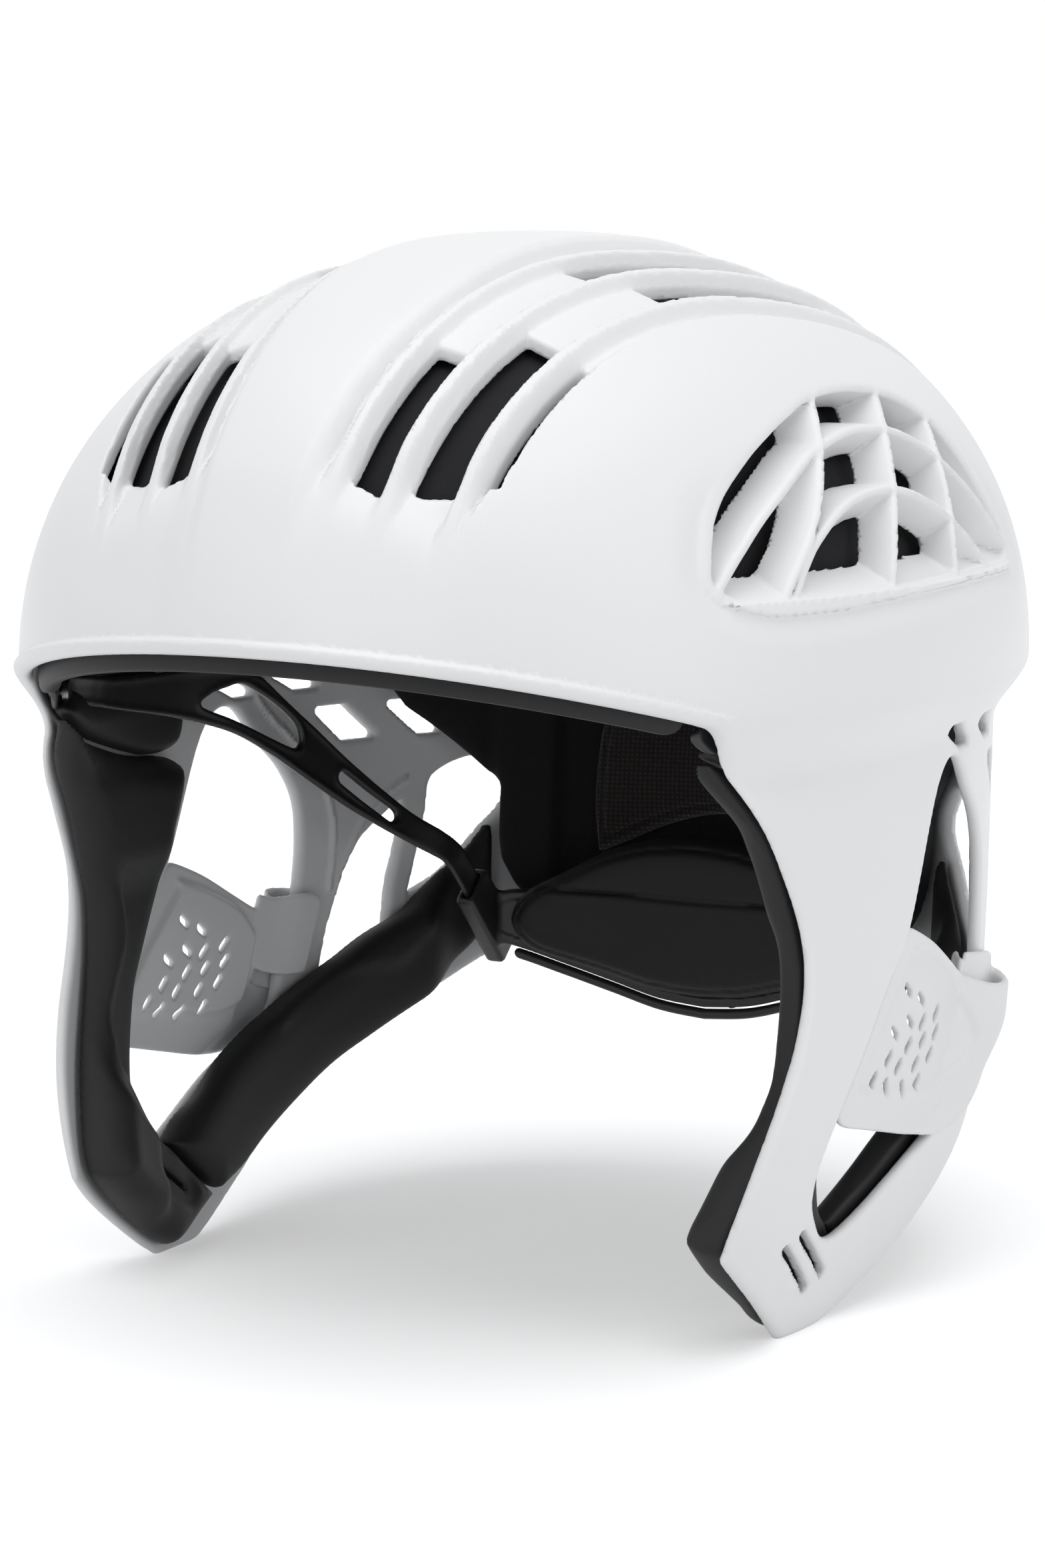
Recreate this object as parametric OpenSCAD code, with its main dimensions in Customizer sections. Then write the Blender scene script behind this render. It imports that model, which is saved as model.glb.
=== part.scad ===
// Surf helmet: one moulded outer shell with jaw arms, ear guards, foam lining and a dial-tightened nape cradle.
// Front faces -Y, the wearer's left is +X, +Z is up, and the jaw tips stand on z = 0.

/* [Shell] */
// Outer width of the dome at the belt
shell_width = 224; // [204:2:244]
// Distance from the middle of the head to the front of the dome at the belt
front_reach = 134; // [124:1:146]
// Distance from the middle of the head to the back of the dome at the belt
rear_reach = 147; // [135:1:160]
// Height of the crown above the jaw tips
crown_height = 250; // [240:1:264]
// Height of the belt, the widest line of the dome
belt_height = 149; // [146:1:153]
// How far the walls step in below the belt
belt_step = 8; // [5:0.5:10]
// How far the jaw draws in from the ears down to its tips
jaw_tuck = 16; // [8:1:20]
// Thickness of the moulded wall
wall = 3.4; // [2.6:0.2:4]
// Height of the smooth ridge over the crown
ridge_height = 1.6; // [0.8:0.2:2.4]
// Half width of the ridge at its front end
ridge_half = 12.5; // [10:0.5:14]
// Height of the rolled lip along the brim
lip_height = 1.2; // [0.6:0.2:2]

/* [Vents] */
// Depth of the sunk crown fields between the ribs
field_depth = 2.6; // [2:0.2:3]
// Width of a crown rib
rib_w = 4; // [3:0.5:5]
// Depth of the side vent's fins below the dome
fin_depth = 11; // [8:0.5:12]
// Thickness of the side vent's fins
fin_w = 3.4; // [2.6:0.2:4.2]
// Half length of the side vent's outline
vent_half = 68; // [58:1:72]
// Height of the side vent's outline
vent_rise = 42; // [36:1:44]

/* [Ear guards] */
// Thickness of a guard
guard_t = 2.2; // [1.6:0.2:2.8]
// Seam between a guard and the shell
guard_seam = 0.7; // [0.5:0.1:1.2]
// Length of a guard's slanted perforations
hole_long = 5; // [4:0.5:6]
// Width of a guard's perforations
hole_wide = 2.4; // [1.8:0.2:3]

/* [Lining] */
// Gap between a lining piece and what it rests on
seat_gap = 0.3; // [0.2:0.05:0.5]
// Thickness of the foam crown liner
crown_t = 9; // [6:0.5:11]
// Thickness of the jaw pads
jaw_pad_t = 9; // [7:0.5:11]
// Thickness of the temple pads
temple_pad_t = 6; // [4:0.5:7]
// Width of the jaw pads
jaw_pad_w = 22; // [18:1:24]
// Thickness of the brow pad
brow_t = 6; // [4:0.5:8]
// How far the brow pad shows below the brim
brow_drop = 3; // [2:0.5:4]
// Thickness of the rear foam
rear_t = 10; // [8:0.5:12]
// Thickness of the rear comfort pad
comfort_t = 7; // [5:0.5:8]

/* [Retention] */
// Greatest width of a band arm, at its window
arm_w = 16; // [14:0.5:17]
// Width of a band arm where it runs in its sleeve
arm_end_w = 8; // [6:0.5:10]
// Thickness of a band arm
arm_t = 1.6; // [1.2:0.1:2]
// Running gap between a band arm and its sleeve
arm_gap = 0.3; // [0.2:0.05:0.4]
// Wall of the sleeves at the cradle's ends
sleeve_wall = 1.6; // [1.2:0.2:2]
// Height of the nape cradle at its middle
cradle_h = 28; // [24:1:30]
// Thickness of the nape cradle
cradle_t = 3.5; // [3:0.25:4.5]
// How far the cradle slides when the dial is turned up tight
slide_travel = 10; // [6:1:12]
// Outer radius of the dial's knob
knob_r = 16.5; // [15:0.5:18]
// Length of the dial's knob along its axis
knob_l = 9; // [7:0.5:11]
// Radius of the dial's spindle
spindle_r = 2.5; // [2:0.1:3]
// Running gap on the spindle
spindle_gap = 0.06; // [0.04:0.01:0.1]
// Number of grips round the knob
grips = 24; // [16:1:30]

/* [Hidden] */
white = "whitesmoke";
black = "dimgray";
half_w = shell_width / 2;
side_power = 2.06;    // upright curve of the dome at its sides
front_power = 2.2;    // upright curve of the dome at its front
rear_power = 2.4;     // upright curve of the dome at its back
plan_front = 2.05;    // plan curve of the dome in front
plan_rear = 2.24;     // plan curve of the shell behind
plan_jaw = 2.8;       // plan curve of the flatter jaw arms
step_run = 16;        // height over which the walls step in below the belt
tuck_from = 70;       // height from which the jaw draws in
rear_lean = 0.1;      // slope of the back wall below the belt
temple = [-78, belt_height - 3];  // where the brim meets the jaw arm, seen from the side
brim_slope = 0.3;     // rise of the brim towards its middle
far = 200;            // reach of a cutter past the shell
skin_cols = 40;       // columns of facets round the shell
floor_d = min(field_depth, wall - 0.6);
facet_slack = 0.5;    // how far the flat facets can cut inside the true curve
seat_d = wall + seat_gap + facet_slack;

// Curves of the shell
function soft(t) = let (c = min(max(t, 0), 1)) c * c * (3 - 2 * c);
function mix(a, b, t) = a + (b - a) * t;
function lerp_line(a, b, s) = mix(a[1], b[1], (s - a[0]) / (b[0] - a[0]));
function brim_z(y) = temple[1] - brim_slope * (y - temple[0]);
function dome_part(z, d, p) =
    let (h = min(max((z - belt_height) / (crown_height - d - belt_height), 0), 1)) pow(1 - pow(h, p), 1 / p);
function step_in(z) = belt_step * soft((belt_height - z) / step_run);
function below(z) = max(belt_height - z, 0);
function tuck(z) = jaw_tuck * pow(max(0, tuck_from - z) / tuck_from, 2);
function side_at(z, d) = (half_w - d) * dome_part(z, d, side_power) - step_in(z) - tuck(z);
function front_at(z, d) = (front_reach - d) * dome_part(z, d, front_power) - step_in(z) - rear_lean * below(z);
function rear_at(z, d) = (rear_reach - d) * dome_part(z, d, rear_power) - step_in(z) - rear_lean * below(z);
function plan_power(s, z) = s < 0 ? plan_front + (plan_jaw - plan_front) * soft(below(z) / 30) : plan_rear;
function signed_pow(v, p) = sign(v) * pow(abs(v), p);

// A point of the skin at plan angle u, height z and depth d below the outer surface
function skin_point(u, z, d) =
    let (n = 2 / plan_power(sin(u), z), b = sin(u) < 0 ? front_at(z, d) : rear_at(z, d))
    [side_at(z, d) * signed_pow(cos(u), n), b * signed_pow(sin(u), n), z];

// Half width of the shell at y and z, at depth d
function side_x(y, z, d) =
    let (n = plan_power(y, z), b = y < 0 ? front_at(z, d) : rear_at(z, d))
    side_at(z, d) * pow(max(0, 1 - pow(abs(y) / b, n)), 1 / n);

// Height on the dome at an upright angle v, at depth d
function dome_z(v, d) = belt_height + (crown_height - d - belt_height) * sin(v);

// Height of the dome above the plan point x, y at depth d, halved down to its place
function top_z(x, y, d, lo = belt_height, hi = crown_height + 4, n = 22) =
    let (m = (lo + hi) / 2, q = plan_power(y, m), b = y < 0 ? front_at(m, d) : rear_at(m, d), a = side_at(m, d),
        out = m >= crown_height - d || a < 0.01 || b < 0.01 || pow(abs(x) / a, q) + pow(abs(y) / b, q) > 1)
    n == 0 ? m : top_z(x, y, d, out ? lo : m, out ? m : hi, n - 1);

// The same place as a point; a deeper point keeps its x and draws in along y, so that it stays on the dome
function dome_at(x, y, d) = let (v = y * (1 - d / 125)) [x, v, top_z(x, v, d)];

// Closed solid between two grids of points that have the same rows and columns
module between(outer, inner, wrap = false, capped = false, flip = false) {
    rows = len(outer);
    cols = len(outer[0]);
    last = wrap ? cols - 1 : cols - 2;
    base = rows * cols;
    top = (rows - 1) * cols;
    function quad(a, b, c, d) = [[a, d, c], [a, c, b]];
    faces = [
        for (r = [0 : rows - 2], c = [0 : last], f = quad(r * cols + c, r * cols + (c + 1) % cols,
            (r + 1) * cols + (c + 1) % cols, (r + 1) * cols + c)) f,
        for (r = [0 : rows - 2], c = [0 : last], f = quad(base + (r + 1) * cols + c,
            base + (r + 1) * cols + (c + 1) % cols, base + r * cols + (c + 1) % cols, base + r * cols + c)) f,
        for (c = [0 : last], f = quad(base + c, base + (c + 1) % cols, (c + 1) % cols, c)) f,
        if (!capped) for (c = [0 : last], f = quad(top + c, top + (c + 1) % cols,
            base + top + (c + 1) % cols, base + top + c)) f,
        if (capped) for (c = [1 : cols - 2]) [top, top + c + 1, top + c],
        if (capped) for (c = [1 : cols - 2]) [base + top, base + top + c, base + top + c + 1],
        if (!wrap) for (r = [0 : rows - 2], f = quad(base + r * cols, r * cols, (r + 1) * cols,
            base + (r + 1) * cols)) f,
        if (!wrap) for (r = [0 : rows - 2], f = quad(r * cols + cols - 1, base + r * cols + cols - 1,
            base + (r + 1) * cols + cols - 1, (r + 1) * cols + cols - 1)) f
    ];
    polyhedron(
        points = [for (row = outer, p = row) p, for (row = inner, p = row) p],
        faces = flip ? [for (f = faces) [f[2], f[1], f[0]]] : faces
    );
}

// Moves a finished piece so that the origin lies under the middle of the whole helmet
module placed() {
    translate([0, (front_reach - rear_reach) / 2 + 0.1, 0]) children();
}

// Skin of the dome from upright angle v0 up to the crown, between depths d0 and d1
module dome(d0, d1, v0 = 0, cols = skin_cols, rows = 9) {
    function ring(v, d) = [for (c = [0 : cols - 1]) skin_point(c * 360 / cols, dome_z(v, d), d)];
    angles = [for (r = [0 : rows - 1]) mix(v0, 87, r / (rows - 1))];
    between([for (v = angles) ring(v, d0)], [for (v = angles) ring(v, d1)], wrap = true, capped = true);
}

// Whole skin of the helmet between depths d0 and d1, from below the jaw tips to the crown
module whole_skin(d0, d1, cols = skin_cols, rows = 9) {
    low = concat([-1, 16, 36, 60, 96], [for (k = [23, 15, 8, 3]) belt_height - k]);
    function ring(z, d) = [for (c = [0 : cols - 1]) skin_point(c * 360 / cols, z, d)];
    angles = [for (r = [0 : rows - 1]) mix(0, 87, r / (rows - 1))];
    function grid(d) = concat([for (z = low) ring(z, d)], [for (v = angles) ring(dome_z(v, d), d)]);
    between(grid(d0), grid(d1), wrap = true, capped = true);
}

// Part of the skin between two plan angles and two heights, which may follow a function of the plan angle
module patch(u0, u1, z0, z1, d0, d1, cols, rows) {
    function at(c, r, d) = let (u = mix(u0, u1, c / cols)) skin_point(u, mix(z0, z1, r / rows), d);
    function grid(d) = [for (r = [0 : rows]) [for (c = [0 : cols]) at(c, r, d)]];
    between(grid(d0), grid(d1));
}

// Middle direction of a flat path at point i, turned by a quarter
function across(path, i, closed = false) =
    let (n = len(path), a = closed ? path[(i + n - 1) % n] : path[max(i - 1, 0)],
        b = closed ? path[(i + 1) % n] : path[min(i + 1, n - 1)], t = b - a) [-t[1], t[0]] / norm(t);

// Fin that stands in the skin from depth d0 to d1 along a flat path, w wide; seen from the side or from above.
// d1 may be a list with a depth for each point of the path.
module fin(path, w, d0, d1, closed = false, from_above = false) {
    function put(p, d) = from_above ? dome_at(p[0], p[1], d) : [side_x(p[0], p[1], d), p[0], p[1]];
    function row(s, d) = [for (i = [0 : len(path) - 1])
        put(path[i] + across(path, i, closed) * s * w / 2, is_list(d) ? d[i] : d)];
    between([row(-1, d0), row(1, d0)], [row(-1, d1), row(1, d1)], wrap = closed);
}

// Lays a side-view outline, y across and z up, as a bar along X
module from_side(reach = 2 * far) {
    rotate([90, 0, 90]) linear_extrude(reach, center = true) children();
}

module both_sides() {
    children();
    mirror([1, 0, 0]) children();
}

module rounded(r) {
    offset(r) offset(-2 * r) offset(r) children();
}

// Side-view outlines of the shell
jaw_tip = [-33, 0];
arm_kink = [-48, 86];
ear_front = [[14, 123], [-2, 92], [-34, 54], [-41, 39], [-39, 33], [-25, 23.6]];
ear_rear = [[10, 36.5], [36, 46.5], [43, 60], [50, 78], [50, 98], [46, 110], [36, 120], [26, 130]];
rail_low = [[-11, 0.5], [13, 11], [27, 19], [49, 29], [72, 39], [90, 48], [102, 56]];
leaf = [[82.6, 99], [72, 90], [66.5, 82.8], [63, 74], [59.4, 64], [55.4, 50], [62, 47.5], [71, 50.5], [77, 62], [79, 76], [81, 84], [83, 92]];
nape_window = [[92, 105], [102.5, 109.5], [107.5, 103], [107.5, 97.5], [103, 91.5], [94, 80], [84, 73.5], [87.6, 85.7], [90, 96]];
nape_z = 62;          // lower edge of the shell at the back
notch_half = 26;      // half width of the dial's notch in that edge
notch_z = 81;         // top of the notch

module face_outline() {
    polygon([[-far, brim_z(-far)], temple, [-67, 128], [-58, 113], arm_kink, [-56, 62], [-62, 46],
        [-66, 28], [-64, 22], [-42, 5], jaw_tip, [jaw_tip[0], -20], [-far, -20]]);
}

module under_outline() {
    polygon(concat([[jaw_tip[0] - 4, -20], [jaw_tip[0] - 4, 0]], [jaw_tip], rail_low,
        [[118, nape_z], [far, nape_z], [far, -20]]));
}

module ear_outline() {
    rounded(4) polygon(concat(ear_front, ear_rear));
}

// Crown ribs run fore and aft; each is a straight line in plan from its front end to its rear end
rib_front_y = 12 - front_reach;
rib_rear_y = 78;
rib_lines = [[17.5, 34], [29.5, 51], [43, 67], [56, 80]];
function rib_x(k, y) = mix(rib_lines[k][0], rib_lines[k][1], (y - rib_front_y) / (rib_rear_y - rib_front_y));
function ridge_x(y) = (ridge_half + 6 * soft((y - rib_front_y + 8) / 80)) * (1 - 0.5 * soft((y - 60) / 50));
field_ys = [rib_front_y + 14, rib_front_y + 30, -70, -44, -16, 12, 38, 60];
ridge_ys = concat([4 - front_reach, rib_front_y], field_ys, [84, 108]);
function field_outer(y) = rib_x(2, y) + 7 - 4 * soft((rib_front_y + 26 - y) / 18);

module field_plan() {
    inner = [for (y = field_ys) [ridge_x(y) + 1.5, y]];
    outer = [for (i = [len(field_ys) - 1 : -1 : 0]) [field_outer(field_ys[i]), field_ys[i]]];
    polygon(concat(inner, [[32, 76], [46, 82]], outer,
        [[46.5, rib_front_y + 9.5], [30, rib_front_y + 4], [15.5, rib_front_y + 2.5]]));
}

// Sunk floor of a crown field, a little wider than the field so that it joins the dome's wall
module field_floor() {
    function row(s, d) = [for (y = concat([rib_front_y + 1 + 7 * s * s], field_ys, [72, 84]))
        let (lo = max(ridge_x(y) - 1, 36 * soft((y - 56) / 30)), hi = field_outer(y) + 1.5 - 24 * soft((y - 60) / 40))
        dome_at(mix(lo, hi, s), y, d)];
    shares = [0, 0.5, 1];
    between([for (s = shares) row(s, floor_d)], [for (s = shares) row(s, floor_d + wall)], flip = true);
}

module ridge() {
    shares = [-1, -0.86, -0.4, 0.4, 0.86, 1];
    function lift(s) = abs(s) > 0.9 ? -0.5 : ridge_height * (abs(s) > 0.6 ? 0.85 : 1);
    function fade(y) = soft((y + front_reach - 3) / 12) * soft((112 - y) / 16);
    function row(s, up) = [for (y = ridge_ys) dome_at(s * ridge_x(y), y, up ? 0.5 - (lift(s) + 0.5) * fade(y) : 1.6)];
    between([for (s = shares) row(s, true)], [for (s = shares) row(s, false)], flip = true);
}

module crown_rib(k) {
    ys = concat([rib_front_y, rib_front_y + 6], field_ys, [rib_rear_y]);
    depths = [for (y = ys) wall - 0.6 + (floor_d - 0.4) * soft((y - rib_front_y - 2) / 14)];
    fin([for (y = ys) [rib_x(k, y), y]], rib_w, 0.35, depths, from_above = true);
}

// A slot in the field between two ribs, from y0 to y1, with its edges a little off the ribs
module slot_plan(k, y0, y1, share = 1) {
    off = rib_w / 2 + 1;
    right = [for (y = [y0, (y0 + y1) / 2, y1]) [mix(rib_x(k, y) + off, rib_x(k + 1, y) - off, share), y]];
    left = [for (y = [y1, (y0 + y1) / 2, y0]) [rib_x(k, y) + off, y]];
    polygon(concat(left, right));
}

module upright() {
    linear_extrude(300) children();
}

// Side vent, seen from the side: a half ellipse with rounded lower corners
vent_c = [-5, belt_height + 25];
function vent_edge(grow, steps = 19) = [for (i = [0 : steps - 1])
    let (a = -12 + 204 * i / (steps - 1), low = a < 0 || a > 180)
    vent_c + [(vent_half + grow) * (low ? 0.93 : 1) * cos(a), low ? -grow : (vent_rise + grow) * sin(a) + 3]];
function arc_path(centre, a, b, steps = 10) =
    [for (i = [0 : steps - 1]) let (t = 180 * i / (steps - 1)) centre + [a * cos(t), b * sin(t)]];
function line_path(from, to, steps = 4) = [for (i = [0 : steps - 1]) from + (to - from) * i / (steps - 1)];
fin_top = 1;          // how far the fins lie below the dome
vent_arches = [[vent_c + [0, 1], vent_half - 2, vent_rise - 9], [vent_c + [-9, -1], 45, vent_rise - 20]];
vent_bars = [for (b = [[-13, 42, -55], [19, 42, -18], [40, 37, 13]]) [vent_c + [b[0], b[1]], vent_c + [b[2], -2]]];

module vent_grille() {
    fin(vent_edge(0), fin_w, 0.5, fin_depth, closed = true);
    for (a = vent_arches) fin(arc_path(a[0], a[1], a[2]), fin_w, fin_top, fin_depth);
    for (b = vent_bars) fin(line_path(b[0], b[1]), fin_w, fin_top, fin_depth);
}

module lattice_hole(y, z, w, h) {
    hull() {
        translate([y - w / 2, z + h / 2]) circle(1, $fn = 12);
        translate([y + w / 2, z + h / 2]) circle(1, $fn = 12);
        translate([y - w / 2 + 8, z - h / 2]) circle(1, $fn = 12);
        translate([y + w / 2 + 8, z - h / 2]) circle(1, $fn = 12);
    }
}

// Slots for a chin strap, near the jaw tips
strap_slot_w = 2.5;
strap_slots = [[[-47, 24.5], [-32.5, 12.5]], [[-41.5, 27], [-26.5, 15]]];

module strap_slot(ends, w = strap_slot_w) {
    hull() {
        translate(ends[0]) circle(w / 2, $fn = 12);
        translate(ends[1]) circle(w / 2, $fn = 12);
    }
}

// Notch round the dial, in the rear edge of the shell and of the rear liner
module dial_notch(grow) {
    translate([0, far / 2, 0]) linear_extrude(height = notch_z + grow, scale = [0.75, 1])
        square([2 * (notch_half + grow), far], center = true);
}

module outer_shell() {
    color(white) difference() {
        union() {
            difference() {
                whole_skin(0, wall);
                both_sides() upright() field_plan();
                from_side() polygon(vent_edge(-0.6));
            }
            ridge();
            both_sides() {
                field_floor();
                for (k = [0 : 2]) crown_rib(k);
                vent_grille();
            }
            intersection() {
                whole_skin(-lip_height, 1);
                from_side() polygon([temple - [0, 1], temple + [0, 3], [-far, brim_z(-far) + 4], [-far, brim_z(-far)]]);
            }
        }
        from_side() face_outline();
        from_side() under_outline();
        from_side() ear_outline();
        from_side() rounded(1.5) polygon(leaf);
        from_side() rounded(1.5) polygon(nape_window);
        from_side() {
            lattice_hole(63, belt_height - 28, 9, 7);
            lattice_hole(83, belt_height - 28, 5, 7);
            lattice_hole(47, belt_height - 15, 8, 4);
            lattice_hole(22, belt_height - 15, 8, 4);
            for (s = strap_slots) strap_slot(s);
        }
        both_sides() upright() {
            slot_plan(0, rib_front_y + 8, -80);
            slot_plan(1, rib_front_y + 12, -66);
            slot_plan(2, rib_front_y + 19, -68, 0.4);
            slot_plan(0, -30, 56);
            slot_plan(1, -24, 60);
        }
        dial_notch(0);
    }
}

// Ear guard: a sheet from its seam on the jaw arm, over the rear strut and round it into an open sleeve
guard_top = [[-2, 92], [52, 76]];
guard_low = [[-36, 51], [4, 43.5], [31, 43], [48, 45], [62, 50], [80, 57]];
// How far along the guard, from its seam at 0 to the strut at 1, and how deep its middle lies
guard_path = [[0, 1.5], [0.05, 1.5], [0.1, 2.4], [0.45, 2.4], [0.53, 0.8], [0.62, -1.6], [0.75, -2.1], [1, -2.1],
    [1.11, -1.6], [1.15, 1], [1.14, 4.6], [1.08, 6.2], [0.92, 6.4]];
guard_inner = 6.4;    // depth of the leg that lies behind the strut
guard_end = 56;       // y of the strut's middle, where the path's share is 1

function guard_low_z(y) = let (i = [for (k = [0 : len(guard_low) - 2]) if (k == 0 || y > guard_low[k][0]) k])
    lerp_line(guard_low[max(i)], guard_low[max(i) + 1], y);

function guard_seam_y(z) = z > ear_front[2][1]
    ? lerp_line([ear_front[2][1], ear_front[2][0]], [ear_front[1][1], ear_front[1][0]], z)
    : lerp_line([ear_front[3][1], ear_front[3][0]], [ear_front[2][1], ear_front[2][0]], z);

// Unit normal of the guard's path at point i, in y and depth, for a guard that is span long
function guard_normal(i, span) =
    let (a = guard_path[max(i - 1, 0)], b = guard_path[min(i + 1, len(guard_path) - 1)],
        t = [(b[0] - a[0]) * span, b[1] - a[1]]) [-t[1], t[0]] / norm(t);

function guard_z(y, v) = mix(guard_low_z(y), lerp_line(guard_top[0], guard_top[1], y), v);

// y of the guard's front end at share v of its height, where it meets the seam
function guard_start(v, z = 70, n = 6) =
    let (y = guard_seam_y(z) + guard_seam * 1.3) n == 0 ? y : guard_start(v, guard_z(y, v), n - 1);

function guard_point(i, v, off) =
    let (
        start = guard_start(v),
        span = guard_end - start,
        n = guard_normal(i, span) * off,
        y = start + guard_path[i][0] * span + n[0],
        z = guard_z(y, v),
        d = guard_path[i][1] + n[1]
    ) [side_x(y, z, d), y, z];

module guard_sheet(rows = 6) {
    function grid(off) = [for (r = [0 : rows]) [for (i = [0 : len(guard_path) - 1]) guard_point(i, r / rows, off)]];
    between(grid(-guard_t / 2), grid(guard_t / 2));
}

module guard_hole(y, z) {
    h = hole_long / 2;
    w = hole_wide / 2;
    translate([y, z]) rotate([0, 0, 58])
        polygon([[-h - w, 0], [-h, -w], [h, -w], [h + w, 0], [h, w], [-h, w]]);
}

module ear_guard_left() {
    color(white) difference() {
        guard_sheet();
        from_side() for (r = [0 : 4], c = [0 : 3]) guard_hole(-20 + c * 6.5 + r * 3.4, 57 + r * 5.2 - c * 0.6);
    }
}

module ear_guard_right() {
    mirror([1, 0, 0]) ear_guard_left();
}

// Linings
crown_d = floor_d + seat_d + 0.6;
liner_seam_z = vent_c[1] - 5;   // height of the seam between the side liners and the crown liner
crown_from = asin((liner_seam_z + seat_gap - belt_height) / (crown_height - crown_d - belt_height));

module crown_liner() {
    color(black) difference() {
        dome(crown_d, crown_d + crown_t, crown_from, 32, 8);
        from_side() polygon([[-far, vent_c[1] - 74], [-30, vent_c[1] - 74], [-50, vent_c[1] - 7], [-72, vent_c[1] - 2], [-far, vent_c[1] + 6]]);
        both_sides() fin(line_path([-84, vent_c[1] + 20], [74, vent_c[1] + 20], 10), 62, -3, fin_depth + seat_gap + 2 * facet_slack + 0.3);
        both_sides() upright() for (y = [-62, -34, -6, 22, 50]) hull() {
            translate([26, y]) circle(3, $fn = 6);
            translate([40, y + 10]) circle(3, $fn = 6);
        }
    }
}

module side_liner_left() {
    color(black) patch(-38, 38, belt_height + 0.5, liner_seam_z - 1, seat_d, seat_d + crown_t, 12, 2);
}

module side_liner_right() {
    mirror([1, 0, 0]) side_liner_left();
}

// Half width of the rear liner at each height: it stays behind the side windows
rear_rows = [[70, 51], [78, 54], [86, 57], [96, 59], [103, 60], [109, 64], [117, 70.5], [125, 77], [belt_height - 16, 81],
    [belt_height - 6, 80], [belt_height + 5, 77], [belt_height + 16, 70]];
function rear_y(x, z, d) = rear_at(z, d) * pow(1 - pow(abs(x) / side_at(z, d), plan_rear), 1 / plan_rear);

module rear_liner() {
    function row(r, d) = [for (c = [-6 : 6]) let (x = r[1] * c / 6) [x, rear_y(x, r[0], d), r[0]]];
    function grid(d) = [for (r = rear_rows) row(r, d)];
    color(black) difference() {
        between(grid(seat_d + 0.2), grid(seat_d + rear_t), flip = true);
        dial_notch(1.5);
    }
}

// Brow pad follows the brim from temple to temple and shows a little below it
module brow_pad() {
    function at(c, r, d) =
        let (u = mix(222, 318, c / 22), p = skin_point(u, belt_height + 8, d), z = brim_z(p[1]) - brow_drop + r * 3.2)
        skin_point(u, z, d + (r == 0 || r == 4 ? (d > seat_d + 1 ? -1.5 : 0) : 0));
    function grid(d) = [for (r = [0 : 4]) [for (c = [0 : 22]) at(c, r, d)]];
    color(black) between(grid(seat_d + 0.3), grid(seat_d + brow_t));
}

// A pad on the inside of a side wall: rings along stations [y, z, width], flat on its seat and crowned inside
module wall_pad(stations, d0, t) {
    n = len(stations);
    profile = [[-0.5, 0.05], [-0.46, 0], [0.46, 0], [0.5, 0.05], [0.49, 0.5], [0.4, 0.82], [0.2, 0.97],
        [-0.2, 0.97], [-0.4, 0.82], [-0.49, 0.5]];
    function dir(i) = let (a = stations[max(i - 1, 0)], b = stations[min(i + 1, n - 1)],
        v = [b[0] - a[0], b[1] - a[1]]) v / norm(v);
    function pad_ring(i, k) = [for (p = profile)
        let (s = stations[i], w = dir(i), y = s[0] - w[1] * p[0] * s[2] * k, z = s[1] + w[0] * p[0] * s[2] * k,
            d = d0 + t * (0.5 + (p[1] - 0.5) * (k < 1 && p[1] > 0.1 ? 0.8 : 1)))
        [side_x(y, z, d), y, z]];
    rings = [for (i = [0 : n - 1]) pad_ring(i, i == 0 || i == n - 1 ? 0.86 : 1)];
    m = len(profile);
    polyhedron(
        points = [for (r = rings, p = r) p],
        faces = [
            for (i = [0 : n - 2], j = [0 : m - 1], f = [
                [i * m + j, i * m + (j + 1) % m, (i + 1) * m + (j + 1) % m],
                [i * m + j, (i + 1) * m + (j + 1) % m, (i + 1) * m + j]]) f,
            for (j = [1 : m - 2]) [0, j + 1, j],
            for (j = [1 : m - 2]) [(n - 1) * m, (n - 1) * m + j, (n - 1) * m + j + 1]
        ]
    );
}

front_pad_line = [[-38, 123.4, 38], [-38, 119, 43], [-35.8, 113, 43.5], [-34.8, 105.5, 35.5], [-33.4, 98, 30.4],
    [-33, 90, 28.4], [-34, 81, 26], [-36, 73, 26.2], [-39.3, 64, 27], [-42.8, 54, 28], [-45.5, 44, 28], [-46, 35, 29],
    [-41.5, 25.5, 32], [-32.5, 16.5, 27], [-25, 12.3, 20]];
rear_pad_line = [[-11.5, 16.8, 18], [3.5, 23.7, 20], [20, 30, 20], [36, 36.6, 20], [52, 43.8, 21], [66, 51, 23],
    [79, 59, 23], [87.5, 65, 22]];
temple_pad_line = [[-35, 141, 38], [-36, 135.5, 40], [-37, 132.5, 41], [-38, 129.5, 42], [-38, 124.5, 40]];
pad_slot = [[-41, 27], [-27.5, 16.5]];    // slot through the front jaw pad, behind the shell's rear strap slot

module front_jaw_pad_left() {
    color(black) difference() {
        wall_pad([for (s = front_pad_line) [s[0], s[1], s[2] * jaw_pad_w / 22]], seat_d, jaw_pad_t);
        from_side() strap_slot(pad_slot);
    }
}

module front_jaw_pad_right() {
    mirror([1, 0, 0]) front_jaw_pad_left();
}

module rear_jaw_pad_left() {
    color(black) difference() {
        wall_pad([for (s = rear_pad_line) [s[0], s[1], s[2] * jaw_pad_w / 22]], seat_d, jaw_pad_t);
        fin(line_path([42, 46], [80, 64]), 36, -3, guard_inner + guard_t / 2 + seat_gap);
    }
}

module rear_jaw_pad_right() {
    mirror([1, 0, 0]) rear_jaw_pad_left();
}

module temple_pad_left() {
    color(black) wall_pad(temple_pad_line, seat_d, temple_pad_t);
}

module temple_pad_right() {
    mirror([1, 0, 0]) temple_pad_left();
}

module rear_comfort_pad() {
    d = seat_d + rear_t + seat_gap + 0.5;
    color("dimgray") patch(66, 114, 92, 128, d, d + comfort_t, 10, 4);
}

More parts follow.
